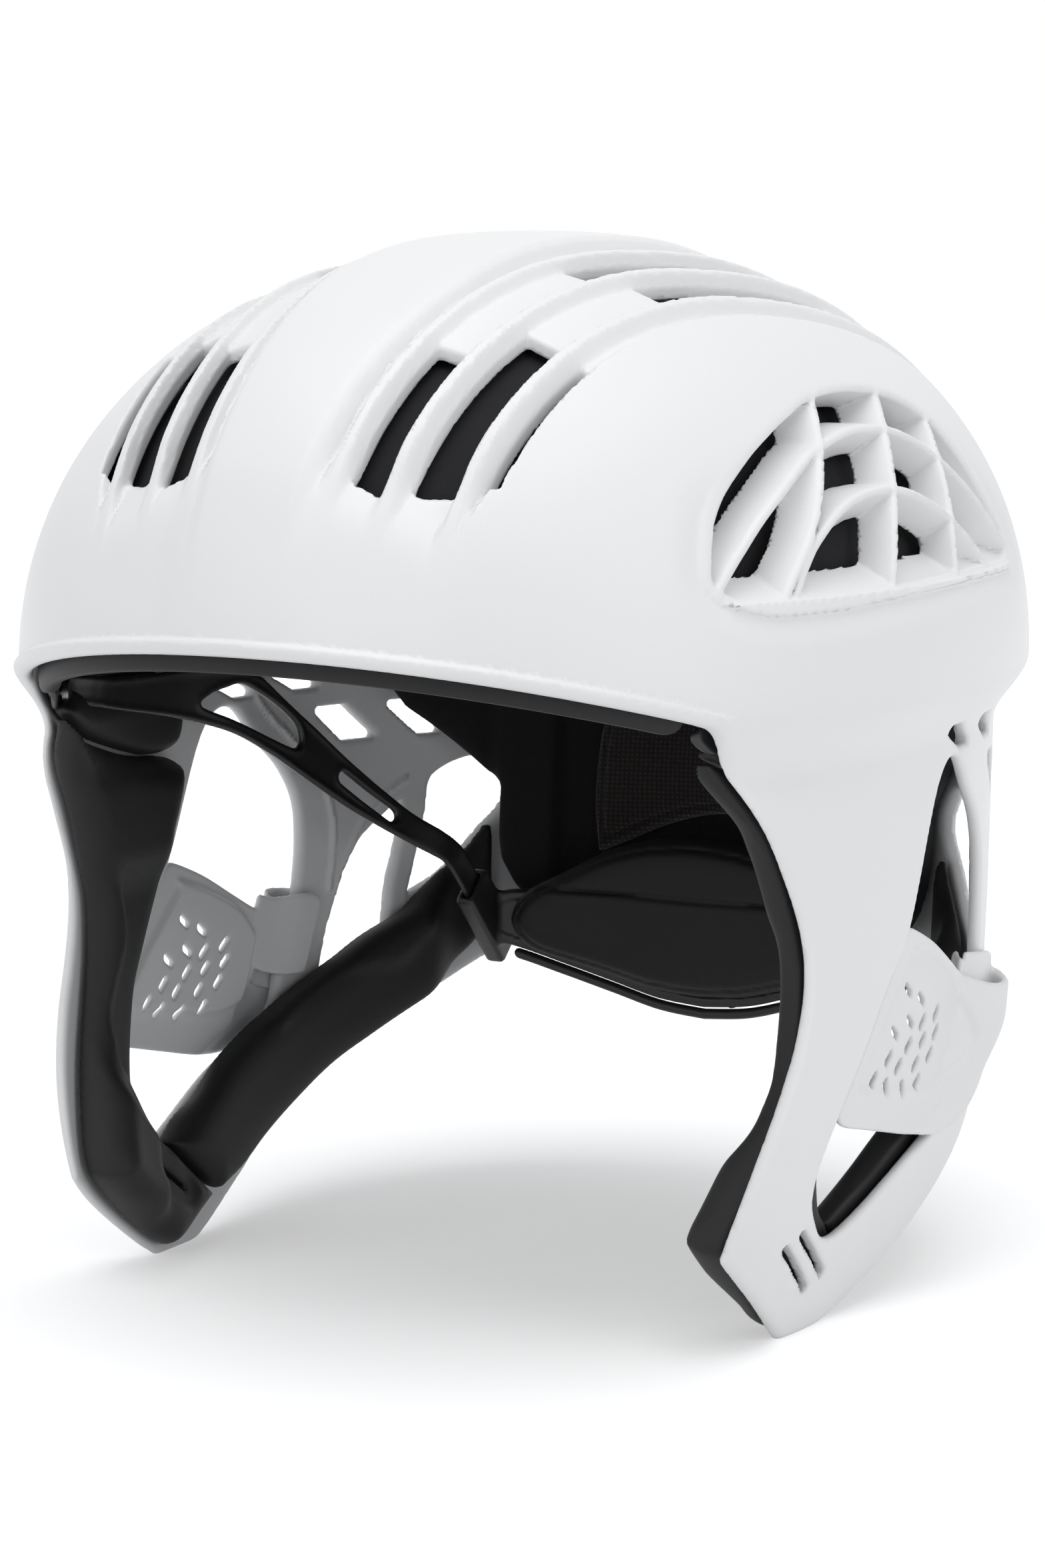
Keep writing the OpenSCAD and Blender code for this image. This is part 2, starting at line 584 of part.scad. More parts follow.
// Band arms run from a rivet at the temple, inside the shell, back and down into the cradle's sleeves
slide_dir = [0, 0.68, -0.733];
sleeve_top = [58, 77, 79];
sleeve_len = 20;
arm_rivet = [-67, 143];
arm_d = wall + 3.2;   // depth of the arm's middle at its rivet
arm_points = [[-73, 143.5, arm_d], [arm_rivet[0], arm_rivet[1], arm_d], [-61, 142.8, arm_d + 0.6], [-53, 141.5, 13],
    [-40, 139.5, 14.5], [-18, 137, 17], [3, 133, 20], [20, 126.4, 20.5], [33.5, 117, 21], [46, 106.6, 22], [58, 96.3, 24]];
function arm_at(p) = [side_x(p[0], p[1], p[2]), p[0], p[1]];
arm_line = concat(
    [for (p = arm_points) arm_at(p)],
    [for (s = [-slide_travel - 7, -slide_travel - 2, 0, sleeve_len]) sleeve_top + slide_dir * s]
);
arm_shares = [0.15, 0.35, 0.35, 0.3, 0.25, 0.6, 1, 0.9, 0.7, 0.45, 0.15, 0, 0, 0, 0];   // from the end width to the greatest
arm_widths = [for (s = arm_shares) mix(arm_end_w, arm_w, s)];
// Openings in a band arm, seen from the side
arm_window = [[-9, 134.2], [-5, 136.8], [5, 138], [12.5, 135.2], [21.5, 130.8], [28.6, 124.6], [28.4, 119.8], [24, 120.4],
    [13, 125.2], [1, 129.8]];
arm_slot = [[42, 110.2], [53, 99.6]];
arm_slot_w = 3.4;

// A solid along a line through one section for each point, [across, outwards]; faces_to gives outwards
module sweep(line, sections, faces_to) {
    n = len(line);
    m = len(sections[0]);
    function unit(v) = v / norm(v);
    function dir(i) = unit(line[min(i + 1, n - 1)] - line[max(i - 1, 0)]);
    function ring(i) = let (w = unit(cross(dir(i), faces_to[i])), o = unit(cross(w, dir(i))))
        [for (p = sections[i]) line[i] + w * p[0] + o * p[1]];
    polyhedron(
        points = [for (i = [0 : n - 1], p = ring(i)) p],
        faces = [
            for (i = [0 : n - 2], j = [0 : m - 1], f = [
                [m * i + j, m * i + (j + 1) % m, m * i + m + (j + 1) % m],
                [m * i + j, m * i + m + (j + 1) % m, m * i + m + j]]) f,
            for (j = [1 : m - 2]) [0, j + 1, j],
            for (j = [1 : m - 2]) [m * (n - 1), m * (n - 1) + j, m * (n - 1) + j + 1]
        ]
    );
}

// A flat strip along a line; its width lies across the line and across the direction that it faces
module strip(line, widths, t, faces_to) {
    sweep(line, [for (w = widths) [[-w / 2, -t / 2], [w / 2, -t / 2], [w / 2, t / 2], [-w / 2, t / 2]]], faces_to);
}

module band_arm_left() {
    outward = [for (i = [0 : len(arm_line) - 1]) i < 11 ? [1, 0.25 * max(0, i - 6) / 6, 0] : [1, 0, 0]];
    color(black) difference() {
        strip(arm_line, arm_widths, arm_t, outward);
        rivet_at() cylinder(20, r = rivet_r + 0.1, center = true, $fn = 32);
        from_side() rounded(1) polygon(arm_window);
        from_side() strap_slot(arm_slot, arm_slot_w);
    }
}

module band_arm_right() {
    mirror([1, 0, 0]) band_arm_left();
}

// Puts children on the rivet of the left arm, +Z into the head's side
rivet_r = 1.6;
rivet_lean = atan((side_x(arm_rivet[0] + 4, arm_rivet[1], arm_d) - side_x(arm_rivet[0] - 4, arm_rivet[1], arm_d)) / 8);
module rivet_at() {
    translate(arm_at([arm_rivet[0], arm_rivet[1], arm_d])) rotate([0, 0, -rivet_lean]) rotate([0, -90, 0]) children();
}

module band_rivets() {
    color("black") both_sides() rivet_at() {
        translate([0, 0, arm_t / 2 + 0.4]) cylinder(1.5, r = 3.2, $fn = 24);
        translate([0, 0, 1 + wall - arm_d]) cylinder(arm_d - wall + 1, r = rivet_r, $fn = 24);
    }
}

// Nape cradle: a curved plate between the two sleeves
cradle_mid = [0, 99, 62];
plate_line = [[-60, 86, 69], [-52, 90, 69], [-40, 94, 67], [-26, 97.3, 64.5], [-13, 98.7, 62.6], cradle_mid,
    [13, 98.7, 62.6], [26, 97.3, 64.5], [40, 94, 67], [52, 90, 69], [60, 86, 69]];
plate_heights = [12, 15, 19, 23, 26.5, 28, 26.5, 23, 19, 15, 12];
nape_pad_t = 6;
piping_r = 1.4;

module sleeve() {
    // The sleeve lies along the slide, with its width across it
    ang = atan2(slide_dir[1], slide_dir[2]);
    translate(sleeve_top + slide_dir * (sleeve_len / 2 + 3)) rotate([-ang, 0, 0])
        difference() {
            cube([arm_t + 2 * arm_gap + 2 * sleeve_wall, arm_end_w + 2 * arm_gap + 2 * sleeve_wall, sleeve_len + 6],
                center = true);
            cube([arm_t + 2 * arm_gap, arm_end_w + 2 * arm_gap, sleeve_len + 8], center = true);
        }
}

module nape_cradle() {
    color("black") difference() {
        union() {
            strip(plate_line, [for (h = plate_heights) h * cradle_h / 28], cradle_t, [for (p = plate_line) [0, 1, 0]]);
            both_sides() sleeve();
        }
        translate(cradle_mid - [0, 20, 0]) rotate([-90, 0, 0]) cylinder(40, r = spindle_r + spindle_gap, $fn = 36);
        both_sides() translate(sleeve_top + slide_dir * (sleeve_len / 2 + 3))
            rotate([-atan2(slide_dir[1], slide_dir[2]), 0, 0])
            cube([arm_t + 2 * arm_gap, arm_end_w + 2 * arm_gap, sleeve_len + 20], center = true);
    }
}

module nape_pad() {
    rise = [0, 1.5, 4.5, 6, 6.5, 6, 4.5, 1.5, 0];
    line = [for (i = [1 : len(plate_line) - 2])
        plate_line[i] - [0, cradle_t / 2 + seat_gap + nape_pad_t / 2 + 0.6, -rise[i - 1]]];
    heights = [for (h = [11, 18, 27, 33, 35, 33, 27, 18, 11]) h * cradle_h / 28];
    color(black) difference() {
        strip(line, heights, nape_pad_t, [for (p = line) [0, 1, 0]]);
        dial_at(cradle_mid[1] - cradle_t / 2 - 2) cylinder(4, r = spindle_r + 3, $fn = 32);
    }
}

module nape_piping() {
    line = [for (i = [1 : len(plate_line) - 2])
        plate_line[i] - [0, 0, plate_heights[i] * cradle_h / 56 + piping_r + seat_gap + 0.2]];
    color("black") sweep(line, [for (p = line) [for (a = [0 : 40 : 359]) piping_r * [cos(a), sin(a)]]],
        [for (p = line) [0, 1, 0]]);
}

// Dial on the back of the cradle, turning about Y
housing_l = 8;
housing_r = 14;
housing_y = cradle_mid[1] + cradle_t / 2;
knob_gap = 0.4;
knob_y = housing_y + housing_l + knob_gap;
spool_r = 9;
spool_l = 4;

module dial_at(y) {
    translate([cradle_mid[0], y, cradle_mid[2]]) rotate([-90, 0, 0]) children();
}

module dial_housing() {
    color("black") dial_at(housing_y) difference() {
        cylinder(housing_l, r = housing_r, $fn = 36);
        translate([0, 0, -1]) cylinder(housing_l + 2, r = spindle_r + spindle_gap, $fn = 36);
        translate([0, 0, 1.6]) cylinder(housing_l, r = spool_r + 1.6, $fn = 36);
        for (a = [0, 180]) rotate([0, 0, a]) translate([0, spool_r - 1, 1.6 + spool_l / 2])
            rotate([0, 90, 0]) cylinder(housing_r + 5, r = 1.2, $fn = 16);
    }
}

module dial_spool() {
    color("gray") dial_at(housing_y + 1.6 + 0.3) difference() {
        union() {
            cylinder(spool_l, r = spool_r - 2, $fn = 36);
            cylinder(1, r = spool_r, $fn = 36);
            translate([0, 0, spool_l - 1]) cylinder(1, r = spool_r, $fn = 36);
        }
        translate([0, 0, -1]) cylinder(spool_l + 2, r = spindle_r, $fn = 36);
    }
}

module dial_spindle() {
    color("silver") dial_at(cradle_mid[1] - cradle_t / 2 - 1.2) {
        cylinder(1, r = spindle_r + 2, $fn = 36);
        cylinder(cradle_t + housing_l + knob_gap + 5, r = spindle_r, $fn = 36);
    }
}

module dial_knob() {
    color("black") dial_at(knob_y) difference() {
        union() {
            cylinder(knob_l, r = knob_r - 1, $fn = 36);
            for (i = [0 : grips - 1]) rotate([0, 0, i * 360 / grips]) translate([knob_r - 1.4, 0, 0])
                cylinder(knob_l, r = 1.4, $fn = 8);
        }
        translate([0, 0, -1]) cylinder(knob_l - 2, r = spindle_r, $fn = 36);
        translate([0, 0, knob_l - 2]) cylinder(3, r = knob_r - 4, $fn = 36);
    }
}

module dial_cap() {
    color("dimgray") dial_at(knob_y + knob_l - 2 + 0.05) cylinder(2.2, r = knob_r - 4.3, $fn = 36);
}

placed() outer_shell();
placed() ear_guard_left();
placed() ear_guard_right();
placed() crown_liner();
placed() side_liner_left();
placed() side_liner_right();
placed() rear_liner();
placed() brow_pad();
placed() temple_pad_left();
placed() temple_pad_right();
placed() front_jaw_pad_left();
placed() front_jaw_pad_right();
placed() rear_jaw_pad_left();
placed() rear_jaw_pad_right();
placed() rear_comfort_pad();
placed() band_arm_left();
placed() band_arm_right();
placed() band_rivets();
placed() nape_cradle();
placed() nape_pad();
placed() nape_piping();
placed() dial_housing();
placed() dial_spool();
placed() dial_spindle();
placed() dial_knob();
placed() dial_cap();
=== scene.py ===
import math

import bmesh
import bpy
import numpy as np
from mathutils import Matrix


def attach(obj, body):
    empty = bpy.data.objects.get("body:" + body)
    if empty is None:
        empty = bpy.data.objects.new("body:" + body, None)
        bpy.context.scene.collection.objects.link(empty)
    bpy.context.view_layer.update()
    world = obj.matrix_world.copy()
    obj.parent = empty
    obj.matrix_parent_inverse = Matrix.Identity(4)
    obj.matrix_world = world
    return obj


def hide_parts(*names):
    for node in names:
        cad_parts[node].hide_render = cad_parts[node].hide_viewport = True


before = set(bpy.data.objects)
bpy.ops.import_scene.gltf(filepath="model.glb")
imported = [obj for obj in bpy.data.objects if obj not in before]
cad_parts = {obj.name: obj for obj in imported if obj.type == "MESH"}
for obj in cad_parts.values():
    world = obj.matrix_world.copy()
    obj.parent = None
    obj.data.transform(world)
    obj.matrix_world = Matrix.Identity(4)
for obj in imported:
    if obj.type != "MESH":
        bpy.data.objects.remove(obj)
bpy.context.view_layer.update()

import openvdb
from mathutils import Vector

# Shape of the shell, in millimetres
SHIFT = -6.4    # from the design's y to the frame's
HALF_W, FRONT, REAR, TOP, BELT, WALL = 112.0, 134.0, 147.0, 250.0, 149.0, 3.4
STEP_IN, STEP_RUN = 8.0, 16.0    # the wall's step inwards below the belt, and the height that it takes
JAW_Z, JAW_IN = 70.0, 16.0    # the jaw arms lean in below this height, by this much at the floor
END_LEAN = 0.1    # how the front and the back lean in below the belt
SIDE_POWER, FRONT_MORE, REAR_MORE = 2.06, 0.14, 0.34    # roundness of the dome's upright sections
FRONT_POWER, REAR_POWER = SIDE_POWER + FRONT_MORE, SIDE_POWER + REAR_MORE
REAR_PLAN = 2.24    # roundness of the rear half's level sections
FIELD = 2.6    # depth of the sunk fields on the crown
TEMPLE_Y, TEMPLE_Z, BRIM_SLOPE = -78.0, 146.0, 0.3    # the brim's line, seen from the side
RIB_FRONT, RIB_LENGTH = -122.0, 200.0
RELIEF_Z, SLOT_Z = 152.0, 196.0    # the crown's relief and its slots stay above these heights
VENT_RIM, GRILLE_END = 2.2, 9.6    # how far the grille reaches past the vent's outline, and inwards
GRILLE_BLEND = 0.8
NOTCH_Z = 81.0    # top of the dial's notch
SEAT = 4.4    # depth of the pads' backs below the outer surface
DIAL_Z = 62.0    # height of the dial's axis
SLEEVE_X = 58.0    # distance of the band's sleeves from the middle


def soft(t):
    """Smooth step from 0 to 1."""
    t = np.clip(t, 0.0, 1.0)
    return t * t * (3.0 - 2.0 * t)


def below_belt(z):
    """Depth below the belt, and how far the wall steps in there."""
    under = np.maximum(BELT - z, 0.0)
    return under, STEP_IN * soft(under / STEP_RUN)


def jaw_lean(z):
    """How far the jaw arms lean in at height z."""
    return JAW_IN * (np.maximum(JAW_Z - z, 0.0) / JAW_Z) ** 2


def front_plan(z):
    """Roundness of the front half's level section at height z."""
    return 2.05 + 0.75 * soft(np.maximum(BELT - z, 0.0) / 30.0)


def depth(x, y, z):
    """Radial distance from the outer surface, positive outside."""
    under, step = below_belt(z)
    a = HALF_W - step - jaw_lean(z)
    front = y < 0
    b = np.where(front, FRONT, REAR) - step - END_LEAN * under
    n = np.where(front, front_plan(z), REAR_PLAN)
    sx = (np.abs(x) / a) ** n
    sy = (np.abs(y) / b) ** n
    s = np.maximum(sx + sy, 1e-9)
    p = SIDE_POWER + sy / s * np.where(front, FRONT_MORE, REAR_MORE)
    h = np.maximum(z - BELT, 0.0) / (TOP - BELT)
    g = (s ** (p / n) + h ** p) ** (1.0 / p)
    r = np.sqrt(x * x + y * y + np.maximum(z - BELT, 0.0) ** 2)
    return r * (1.0 - 1.0 / g)


def spans(z, d):
    """Half width, front length and rear length of the wall at height z, d inside the outer surface."""
    under, step = below_belt(z)
    h = np.clip((z - BELT) / (TOP - d - BELT), 0.0, 0.999)

    def span(length, power):
        return (length - d) * (1 - h ** power) ** (1 / power) - step

    return (span(HALF_W, SIDE_POWER), span(FRONT, FRONT_POWER) - END_LEAN * under,
            span(REAR, REAR_POWER) - END_LEAN * under)


def side_x(y, z, d):
    """Half width of the wall at (y, z), d inside the outer surface."""
    half, fore, aft = spans(z, d)
    n = np.where(y < 0, front_plan(z), REAR_PLAN)
    return (half - jaw_lean(z)) * np.clip(1 - (np.abs(y) / np.where(y < 0, fore, aft)) ** n, 1e-6, 1) ** (1 / n)


def rear_y(x, z, d):
    """y of the back wall at (x, z), d inside the outer surface."""
    half, _, aft = spans(z, d)
    return aft * np.clip(1 - (np.abs(x) / half) ** REAR_PLAN, 1e-6, 1) ** (1 / REAR_PLAN)


def side_place(p):
    """Points (depth, y, z) laid in the side wall."""
    return np.stack([side_x(p[:, 1], p[:, 2], p[:, 0]), p[:, 1], p[:, 2]], -1)


def rear_place(p):
    """Points (x, depth, z) laid in the back wall."""
    return np.stack([p[:, 0], rear_y(p[:, 0], p[:, 2], p[:, 1]), p[:, 2]], -1)


def notch_half(z):
    """Half width of the dial's notch at height z."""
    return 26.0 * (1.0 - 0.25 * np.clip(z / NOTCH_Z, 0, 1))


def smax(a, b, k):
    """Greater of a and b, blended over k."""
    h = np.maximum(k - np.abs(a - b), 0.0) / k
    return np.maximum(a, b) + h * h * k * 0.25


def smin(a, b, k):
    """Lesser of a and b, blended over k."""
    return -smax(-a, -b, k)


def curve(points, closed=True, steps=6, sharp=()):
    """Smooth line through the points; a sharp point keeps its corner."""
    pts = [np.array(p, float) for p in points]
    n = len(pts)
    out = []
    for i in range(n if closed else n - 1):
        b, c = pts[i], pts[(i + 1) % n]
        a = pts[(i - 1) % n] if (closed or i > 0) else b
        d = pts[(i + 2) % n] if (closed or i + 2 < n) else c
        if i in sharp:
            a = b
        if (i + 1) % n in sharp:
            d = c
        for t in np.arange(steps) / steps:
            t1 = (c - a) * 0.5 * (1.0 if i not in sharp else 2.0)
            t2 = (d - b) * 0.5 * (1.0 if (i + 1) % n not in sharp else 2.0)
            out.append((2 * t ** 3 - 3 * t ** 2 + 1) * b + (t ** 3 - 2 * t ** 2 + t) * t1
                       + (-2 * t ** 3 + 3 * t ** 2) * c + (t ** 3 - t ** 2) * t2)
    if not closed:
        out.append(pts[-1])
    return np.array(out)


def line_distance(p, q, line, closed=False):
    """Distance of (p, q) from a line, and whether each point is inside it."""
    best = np.full(np.broadcast(p, q).shape, 1e9)
    inside = np.zeros(best.shape, bool)
    ends = list(zip(line, np.roll(line, -1, 0))) if closed else list(zip(line[:-1], line[1:]))
    for a, b in ends:
        e = b - a
        t = np.clip(((p - a[0]) * e[0] + (q - a[1]) * e[1]) / max(e @ e, 1e-9), 0, 1)
        best = np.minimum(best, (p - a[0] - t * e[0]) ** 2 + (q - a[1] - t * e[1]) ** 2)
        if closed:
            over = (a[1] > q) != (b[1] > q)
            cross = a[0] + (q - a[1]) * (e[0] / (e[1] if abs(e[1]) > 1e-9 else 1e-9))
            inside ^= over & (p < cross)
    return np.sqrt(best), inside


def area(p, q, line, r=0.0):
    """Signed distance of a closed outline, negative inside."""
    d, inside = line_distance(p, q, line, True)
    return np.where(inside, -d, d) - r


# Side-view outlines, (y, z)
def brim_z(y):
    return TEMPLE_Z - BRIM_SLOPE * (y - TEMPLE_Y)


face = np.vstack([[(-200, brim_z(-200))],
                  curve([(-82, brim_z(-82)), (-76, 143.5), (-67, 128), (-58, 113), (-50.5, 98), (-48.5, 86), (-51, 74),
                         (-56, 62), (-62, 46), (-66, 28), (-63.5, 22), (-42, 5), (-33, -1)],
                        closed=False, sharp=(12,)),
                  [(-33, -20), (-200, -20)]])
under = np.vstack([[(-37, -20), (-37, -0.5), (-33, -0.6)],
                   curve([(-33, -0.6), (-22, -0.8), (-11, 0.8), (13, 10.5), (27, 18), (49, 28.6), (72, 39), (90, 48.2),
                          (104, 57), (118, 62), (135, 62.5)], closed=False), [(200, 62.5), (200, -20)]])
ear = curve([(14, 123), (-1.4, 92.3), (-13.2, 80.4), (-19.8, 73), (-26.2, 65.5), (-34.6, 54.2), (-40.5, 41),
             (-38, 31), (-25, 23.8), (10, 36.8), (36, 46.8), (43.5, 60), (50, 78), (51.5, 98), (46.5, 110), (36, 120),
             (26, 129)])
leaf = curve([(82.6, 98.6), (72, 90), (66.5, 82.8), (63, 74), (59.4, 64), (55.6, 51), (62, 47.8), (71, 50.8), (77, 62),
              (79.2, 76), (81.3, 84), (83.2, 92)], sharp=(0,))
nape_window = curve([(92, 105), (102.5, 109.5), (107.5, 103.5), (107.6, 97.5), (103, 91), (94, 80), (84.4, 74),
                     (87.4, 85.5), (90, 96)], sharp=(6,))
lattice = [np.array(s, float) for s in (
    [(58.9, 125), (67.5, 125), (75.5, 117.5), (67, 117.5)], [(81.5, 125), (86, 125), (93.5, 117.5), (89, 117.5)],
    [(44, 136), (51, 136), (58, 132.2), (51, 132.2)], [(19.5, 136), (26.4, 136), (34, 132.2), (28, 132.2)])]
strap_slots = [np.array([(-47, 24.5), (-32.5, 12.5)]), np.array([(-41.5, 27), (-26.5, 15)])]
inner_beads = [curve([(57, 57), (61.5, 69), (66, 83), (74, 97.5), (84, 105)], closed=False),
               curve([(33.3, 135.3), (38.5, 128), (49.5, 118), (58, 108.4), (62.6, 95.5), (61, 78)], closed=False)]
arm_crease = curve([(-62, 160), (-53, 151), (-43, 144), (-28.5, 135), (-22, 122), (-23, 110.6), (-38, 92), (-52, 71),
                    (-59.5, 48), (-57, 30.6), (-50, 20), (-120, 0), (-160, 80), (-120, 160)], sharp=(10, 11, 12, 13))

# Side vent, (y, z): its outline, the crests of its two arches and of its three bars
vent = curve([(-74.2, 177), (-70.6, 187.5), (-63.8, 195.5), (-52.1, 203), (-41, 208), (-30.5, 211.6), (-17.9, 214.8),
              (-1.7, 216), (14.6, 215), (28, 212), (37.6, 207), (45.5, 198.5), (52.4, 188), (57, 179.5), (57.5, 175.6),
              (52, 173.8), (30.5, 174), (9.6, 173.8), (-22.6, 173), (-42.8, 172), (-58.6, 171.8), (-67.1, 173)])
arch_lines = [curve([(-84, 158), (-76, 172), (-70.2, 179.2), (-58.7, 188.8), (-46.5, 196.1), (-33.9, 202.2),
                     (-24.4, 205.1), (-13.5, 207.2), (-2.7, 207.8), (10.5, 206.7), (20.4, 203.9), (29.5, 199.3),
                     (40, 192), (49, 184.5), (59.9, 175), (72, 160)], closed=False),
              curve([(-64, 160), (-57, 170), (-52.5, 175.4), (-48.9, 179.6), (-42.6, 184.8), (-31.6, 190.6),
                     (-19.8, 193.8), (-6.8, 194.3), (4.2, 192.7), (14.1, 189), (22.3, 184.3), (29.9, 178.9),
                     (37, 171), (44, 160)], closed=False)]
arches = [np.vstack([line, [(line[-1][0] + 8, 110), (line[0][0] - 8, 110)]]) for line in arch_lines]
bars = [curve(b, closed=False) for b in (
    [(-13, 219), (-16.3, 215.1), (-21.8, 209.4), (-25.6, 205.2), (-30.5, 200.2), (-38, 192), (-44, 186), (-52.4, 178.3),
     (-60, 170)],
    [(21, 219), (16, 214.1), (7.6, 207), (0.4, 200), (-5, 194), (-11.8, 186), (-17.6, 177.6), (-22, 170)],
    [(42, 214), (37.5, 208.5), (31.8, 202.2), (26.5, 195.6), (21.6, 188.2), (17.2, 181.5), (11, 170)])]

# Plan-view lines of the crown: x of each rib at its front and at its rear
RIBS = [(17.5, 34), (29.5, 51), (43, 67), (56, 80)]


def rib_x(k, y):
    """Distance of rib k from the middle, at y."""
    return RIBS[k][0] + (RIBS[k][1] - RIBS[k][0]) * (y - RIB_FRONT) / RIB_LENGTH


def ridge_x(y):
    """Half width of the middle ridge, at y."""
    return (12.5 + 6.0 * soft((y + 130.0) / 80.0)) * (1.0 - 0.5 * soft((y - 60.0) / 50.0))


def slot(k, y0, y1, share=1.0):
    """Outline of the slot between rib k and the next one, or of the inner share of it."""
    edge = 3.1
    ys = np.linspace(y0, y1, 5)
    lo, hi = rib_x(k, ys) + edge, rib_x(k + 1, ys) - edge
    hi = lo + (hi - lo) * share
    return np.vstack([np.stack([lo, ys], -1), np.stack([hi, ys], -1)[::-1]])


slots = [slot(0, -113, -81), slot(1, -109, -67), slot(2, -103, -68, 0.35), slot(0, -30, 54), slot(1, -24, 58)]


def side_maps(y, z):
    """Distances that only need the side view. The key of a cut gives the rounding of its lip."""
    cuts = [(area(y, z, face), 2.4), (area(y, z, under), 2.4), (area(y, z, ear), 2.2), (area(y, z, leaf, 0.3), 1.4),
            (area(y, z, nape_window, 0.3), 1.4)]
    cuts += [(area(y, z, s, 1.0), 1.4) for s in lattice]
    cuts += [(line_distance(y, z, s)[0] - 1.25, 0.8) for s in strap_slots]
    out = {"vent": area(y, z, vent), "arch0": area(y, z, arches[0]), "arch1": area(y, z, arches[1])}
    for lip in sorted({k for _, k in cuts}):
        out["cut%g" % lip] = np.minimum.reduce([d for d, k in cuts if k == lip])
    out["bars"] = np.minimum.reduce([line_distance(y, z, b)[0] for b in bars])
    bead = np.minimum.reduce([line_distance(y, z, b)[0] for b in inner_beads])
    out["bead"] = 0.7 * (1.0 - soft(bead / 1.5))
    out["facet"] = 1.2 * soft(-area(y, z, arm_crease) / 18.0 + 0.12) * (1.0 - soft((z - 128.0) / 26.0))
    return out


def plan_maps(x, y):
    """Distances and depths that only need the plan: slots, sunk fields with and without ribs, ridge, front valleys."""
    slot_d = np.minimum.reduce([area(x, y, s, 0.5) for s in slots])
    outer = rib_x(2, y) + 7.0 - 4.0 * soft((-96.0 - y) / 18.0)
    start = RIB_FRONT + 0.0035 * (x - 12.0) ** 2
    across = soft((x - ridge_x(y) - 0.3) / 2.4) * soft((outer - x) / 3.0)
    along = soft((y - start) / 13.0) * soft((76.0 + 0.15 * x - y) / 14.0)
    floor = FIELD * across * along
    rib = np.zeros(np.broadcast(x, y).shape)
    for k in range(3):
        rib = np.maximum(rib, 1.0 - soft((np.abs(x - rib_x(k, y)) - 0.8) / 1.9))
    up = 1.6 * soft((ridge_x(y) - x) / 3.4 + 0.5) * soft((y + 131.0) / 12.0) * soft((112.0 - y) / 16.0)
    valley = 1.3 * soft((x - 14.0) / 9.0) * soft((53.0 - x) / 12.0) * soft((-y - 84.0) / 20.0)
    return {"slot": slot_d, "floor": floor, "top": floor * (1.0 - rib), "up": up, "valley": valley}


PITCH = 0.5
Y_AXIS = np.arange(-142.0, 156.0, PITCH)
Z_AXIS = np.arange(-4.0, 258.0, PITCH)
X_AXIS = np.arange(0.0, 120.0, PITCH)
side_map = side_maps(Y_AXIS[:, None], Z_AXIS[None, :])
plan_map = plan_maps(X_AXIS[:, None], Y_AXIS[None, :])


def sample(table, p0, q0, p, q):
    """Values of a table at (p, q), between its points; p0 and q0 are where it starts."""
    u = np.clip((p - p0) / PITCH, 0, table.shape[0] - 1.001)
    v = np.clip((q - q0) / PITCH, 0, table.shape[1] - 1.001)
    i, j = u.astype(int), v.astype(int)
    u, v = u - i, v - j
    return ((table[i, j] * (1 - u) + table[i + 1, j] * u) * (1 - v)
            + (table[i, j + 1] * (1 - u) + table[i + 1, j + 1] * u) * v)


def shell_field(x, y, z, side, plan):
    """Signed distance of the moulded shell, x not negative."""
    d = depth(x, y, z)
    # the crown's relief fades in above the belt; the brim has a lip, and the dome a dish round the side vent
    above = soft((z - RELIEF_Z) / 10.0)
    lip = 1.2 * (1.0 - soft((z - brim_z(y) - 2.4) / 1.8)) * soft((-72.0 - y) / 6.0)
    low = plan["valley"] * soft((z - 158.0) / 26.0) * (1.0 - soft((z - 196.0) / 14.0))
    dish = 1.5 * (1.0 - soft((side["vent"] - 0.5) / 9.0)) * (1.0 - soft((z - 186.0) / 22.0))
    outside = d + plan["top"] * above - plan["up"] * above - lip + low + side["facet"] + dish
    inside = d + plan["floor"] * above + WALL + side["bead"] * soft((BELT - 6.0 - z) / 6.0)
    body = smax(outside, -inside, 1.0)
    body = smax(body, -smax(plan["slot"], SLOT_Z - z, 1.0), 1.0)
    body = smax(body, -side["vent"], 2.2)
    # the side vent: a sloped rim, two arches with sloped undersides, three straight bars and a ramp below
    deep = -d
    into = np.clip(deep - 0.8, 0.0, 9.0)
    outer = side["vent"] - VENT_RIM
    grille = smax(-side["vent"] - 0.2 - 0.5 * into * soft((z - 177.0) / 6.0), outer, 0.6)
    grille = smax(grille, 1.0 - deep, 1.0)
    for key in ("arch0", "arch1"):
        s = side[key]
        blade = smax(smax(s - 0.6, -s - 0.6 - 0.72 * into, 0.8), 0.9 - deep, 1.0)
        grille = smin(grille, blade, GRILLE_BLEND)
    bar = smax(side["bars"] - 0.75 - 0.05 * into, 0.7 - deep, 1.0)
    grille = smin(grille, bar, GRILLE_BLEND)
    slant = np.maximum(z - 172.6, 0.0) * 1.7
    ramp = smax(slant - deep, z - 178.6, 0.8)
    grille = smin(grille, ramp, GRILLE_BLEND)
    grille = smax(smax(grille, deep - GRILLE_END, GRILLE_BLEND), outer, 0.6)
    body = smin(body, grille, 1.2)
    for key, value in side.items():
        if key.startswith("cut"):
            body = smax(body, -value, float(key[3:]))
    # notch for the dial in the rear edge
    notch = smax(smax(np.abs(x) - notch_half(z), z - NOTCH_Z, 10.0), -y, 2.0)
    return smax(body, -notch, 2.4)


def contour(values, background):
    """Surface where an array is nought: points in grid steps, and faces."""
    grid = openvdb.FloatGrid(background=background)
    grid.copyFromArray(np.ascontiguousarray(values))
    points, tris, quads = grid.convertToPolygons(isovalue=0.0, adaptivity=0.0)
    return points.astype(float), [tuple(f) for f in tris.tolist() + quads.tolist()]


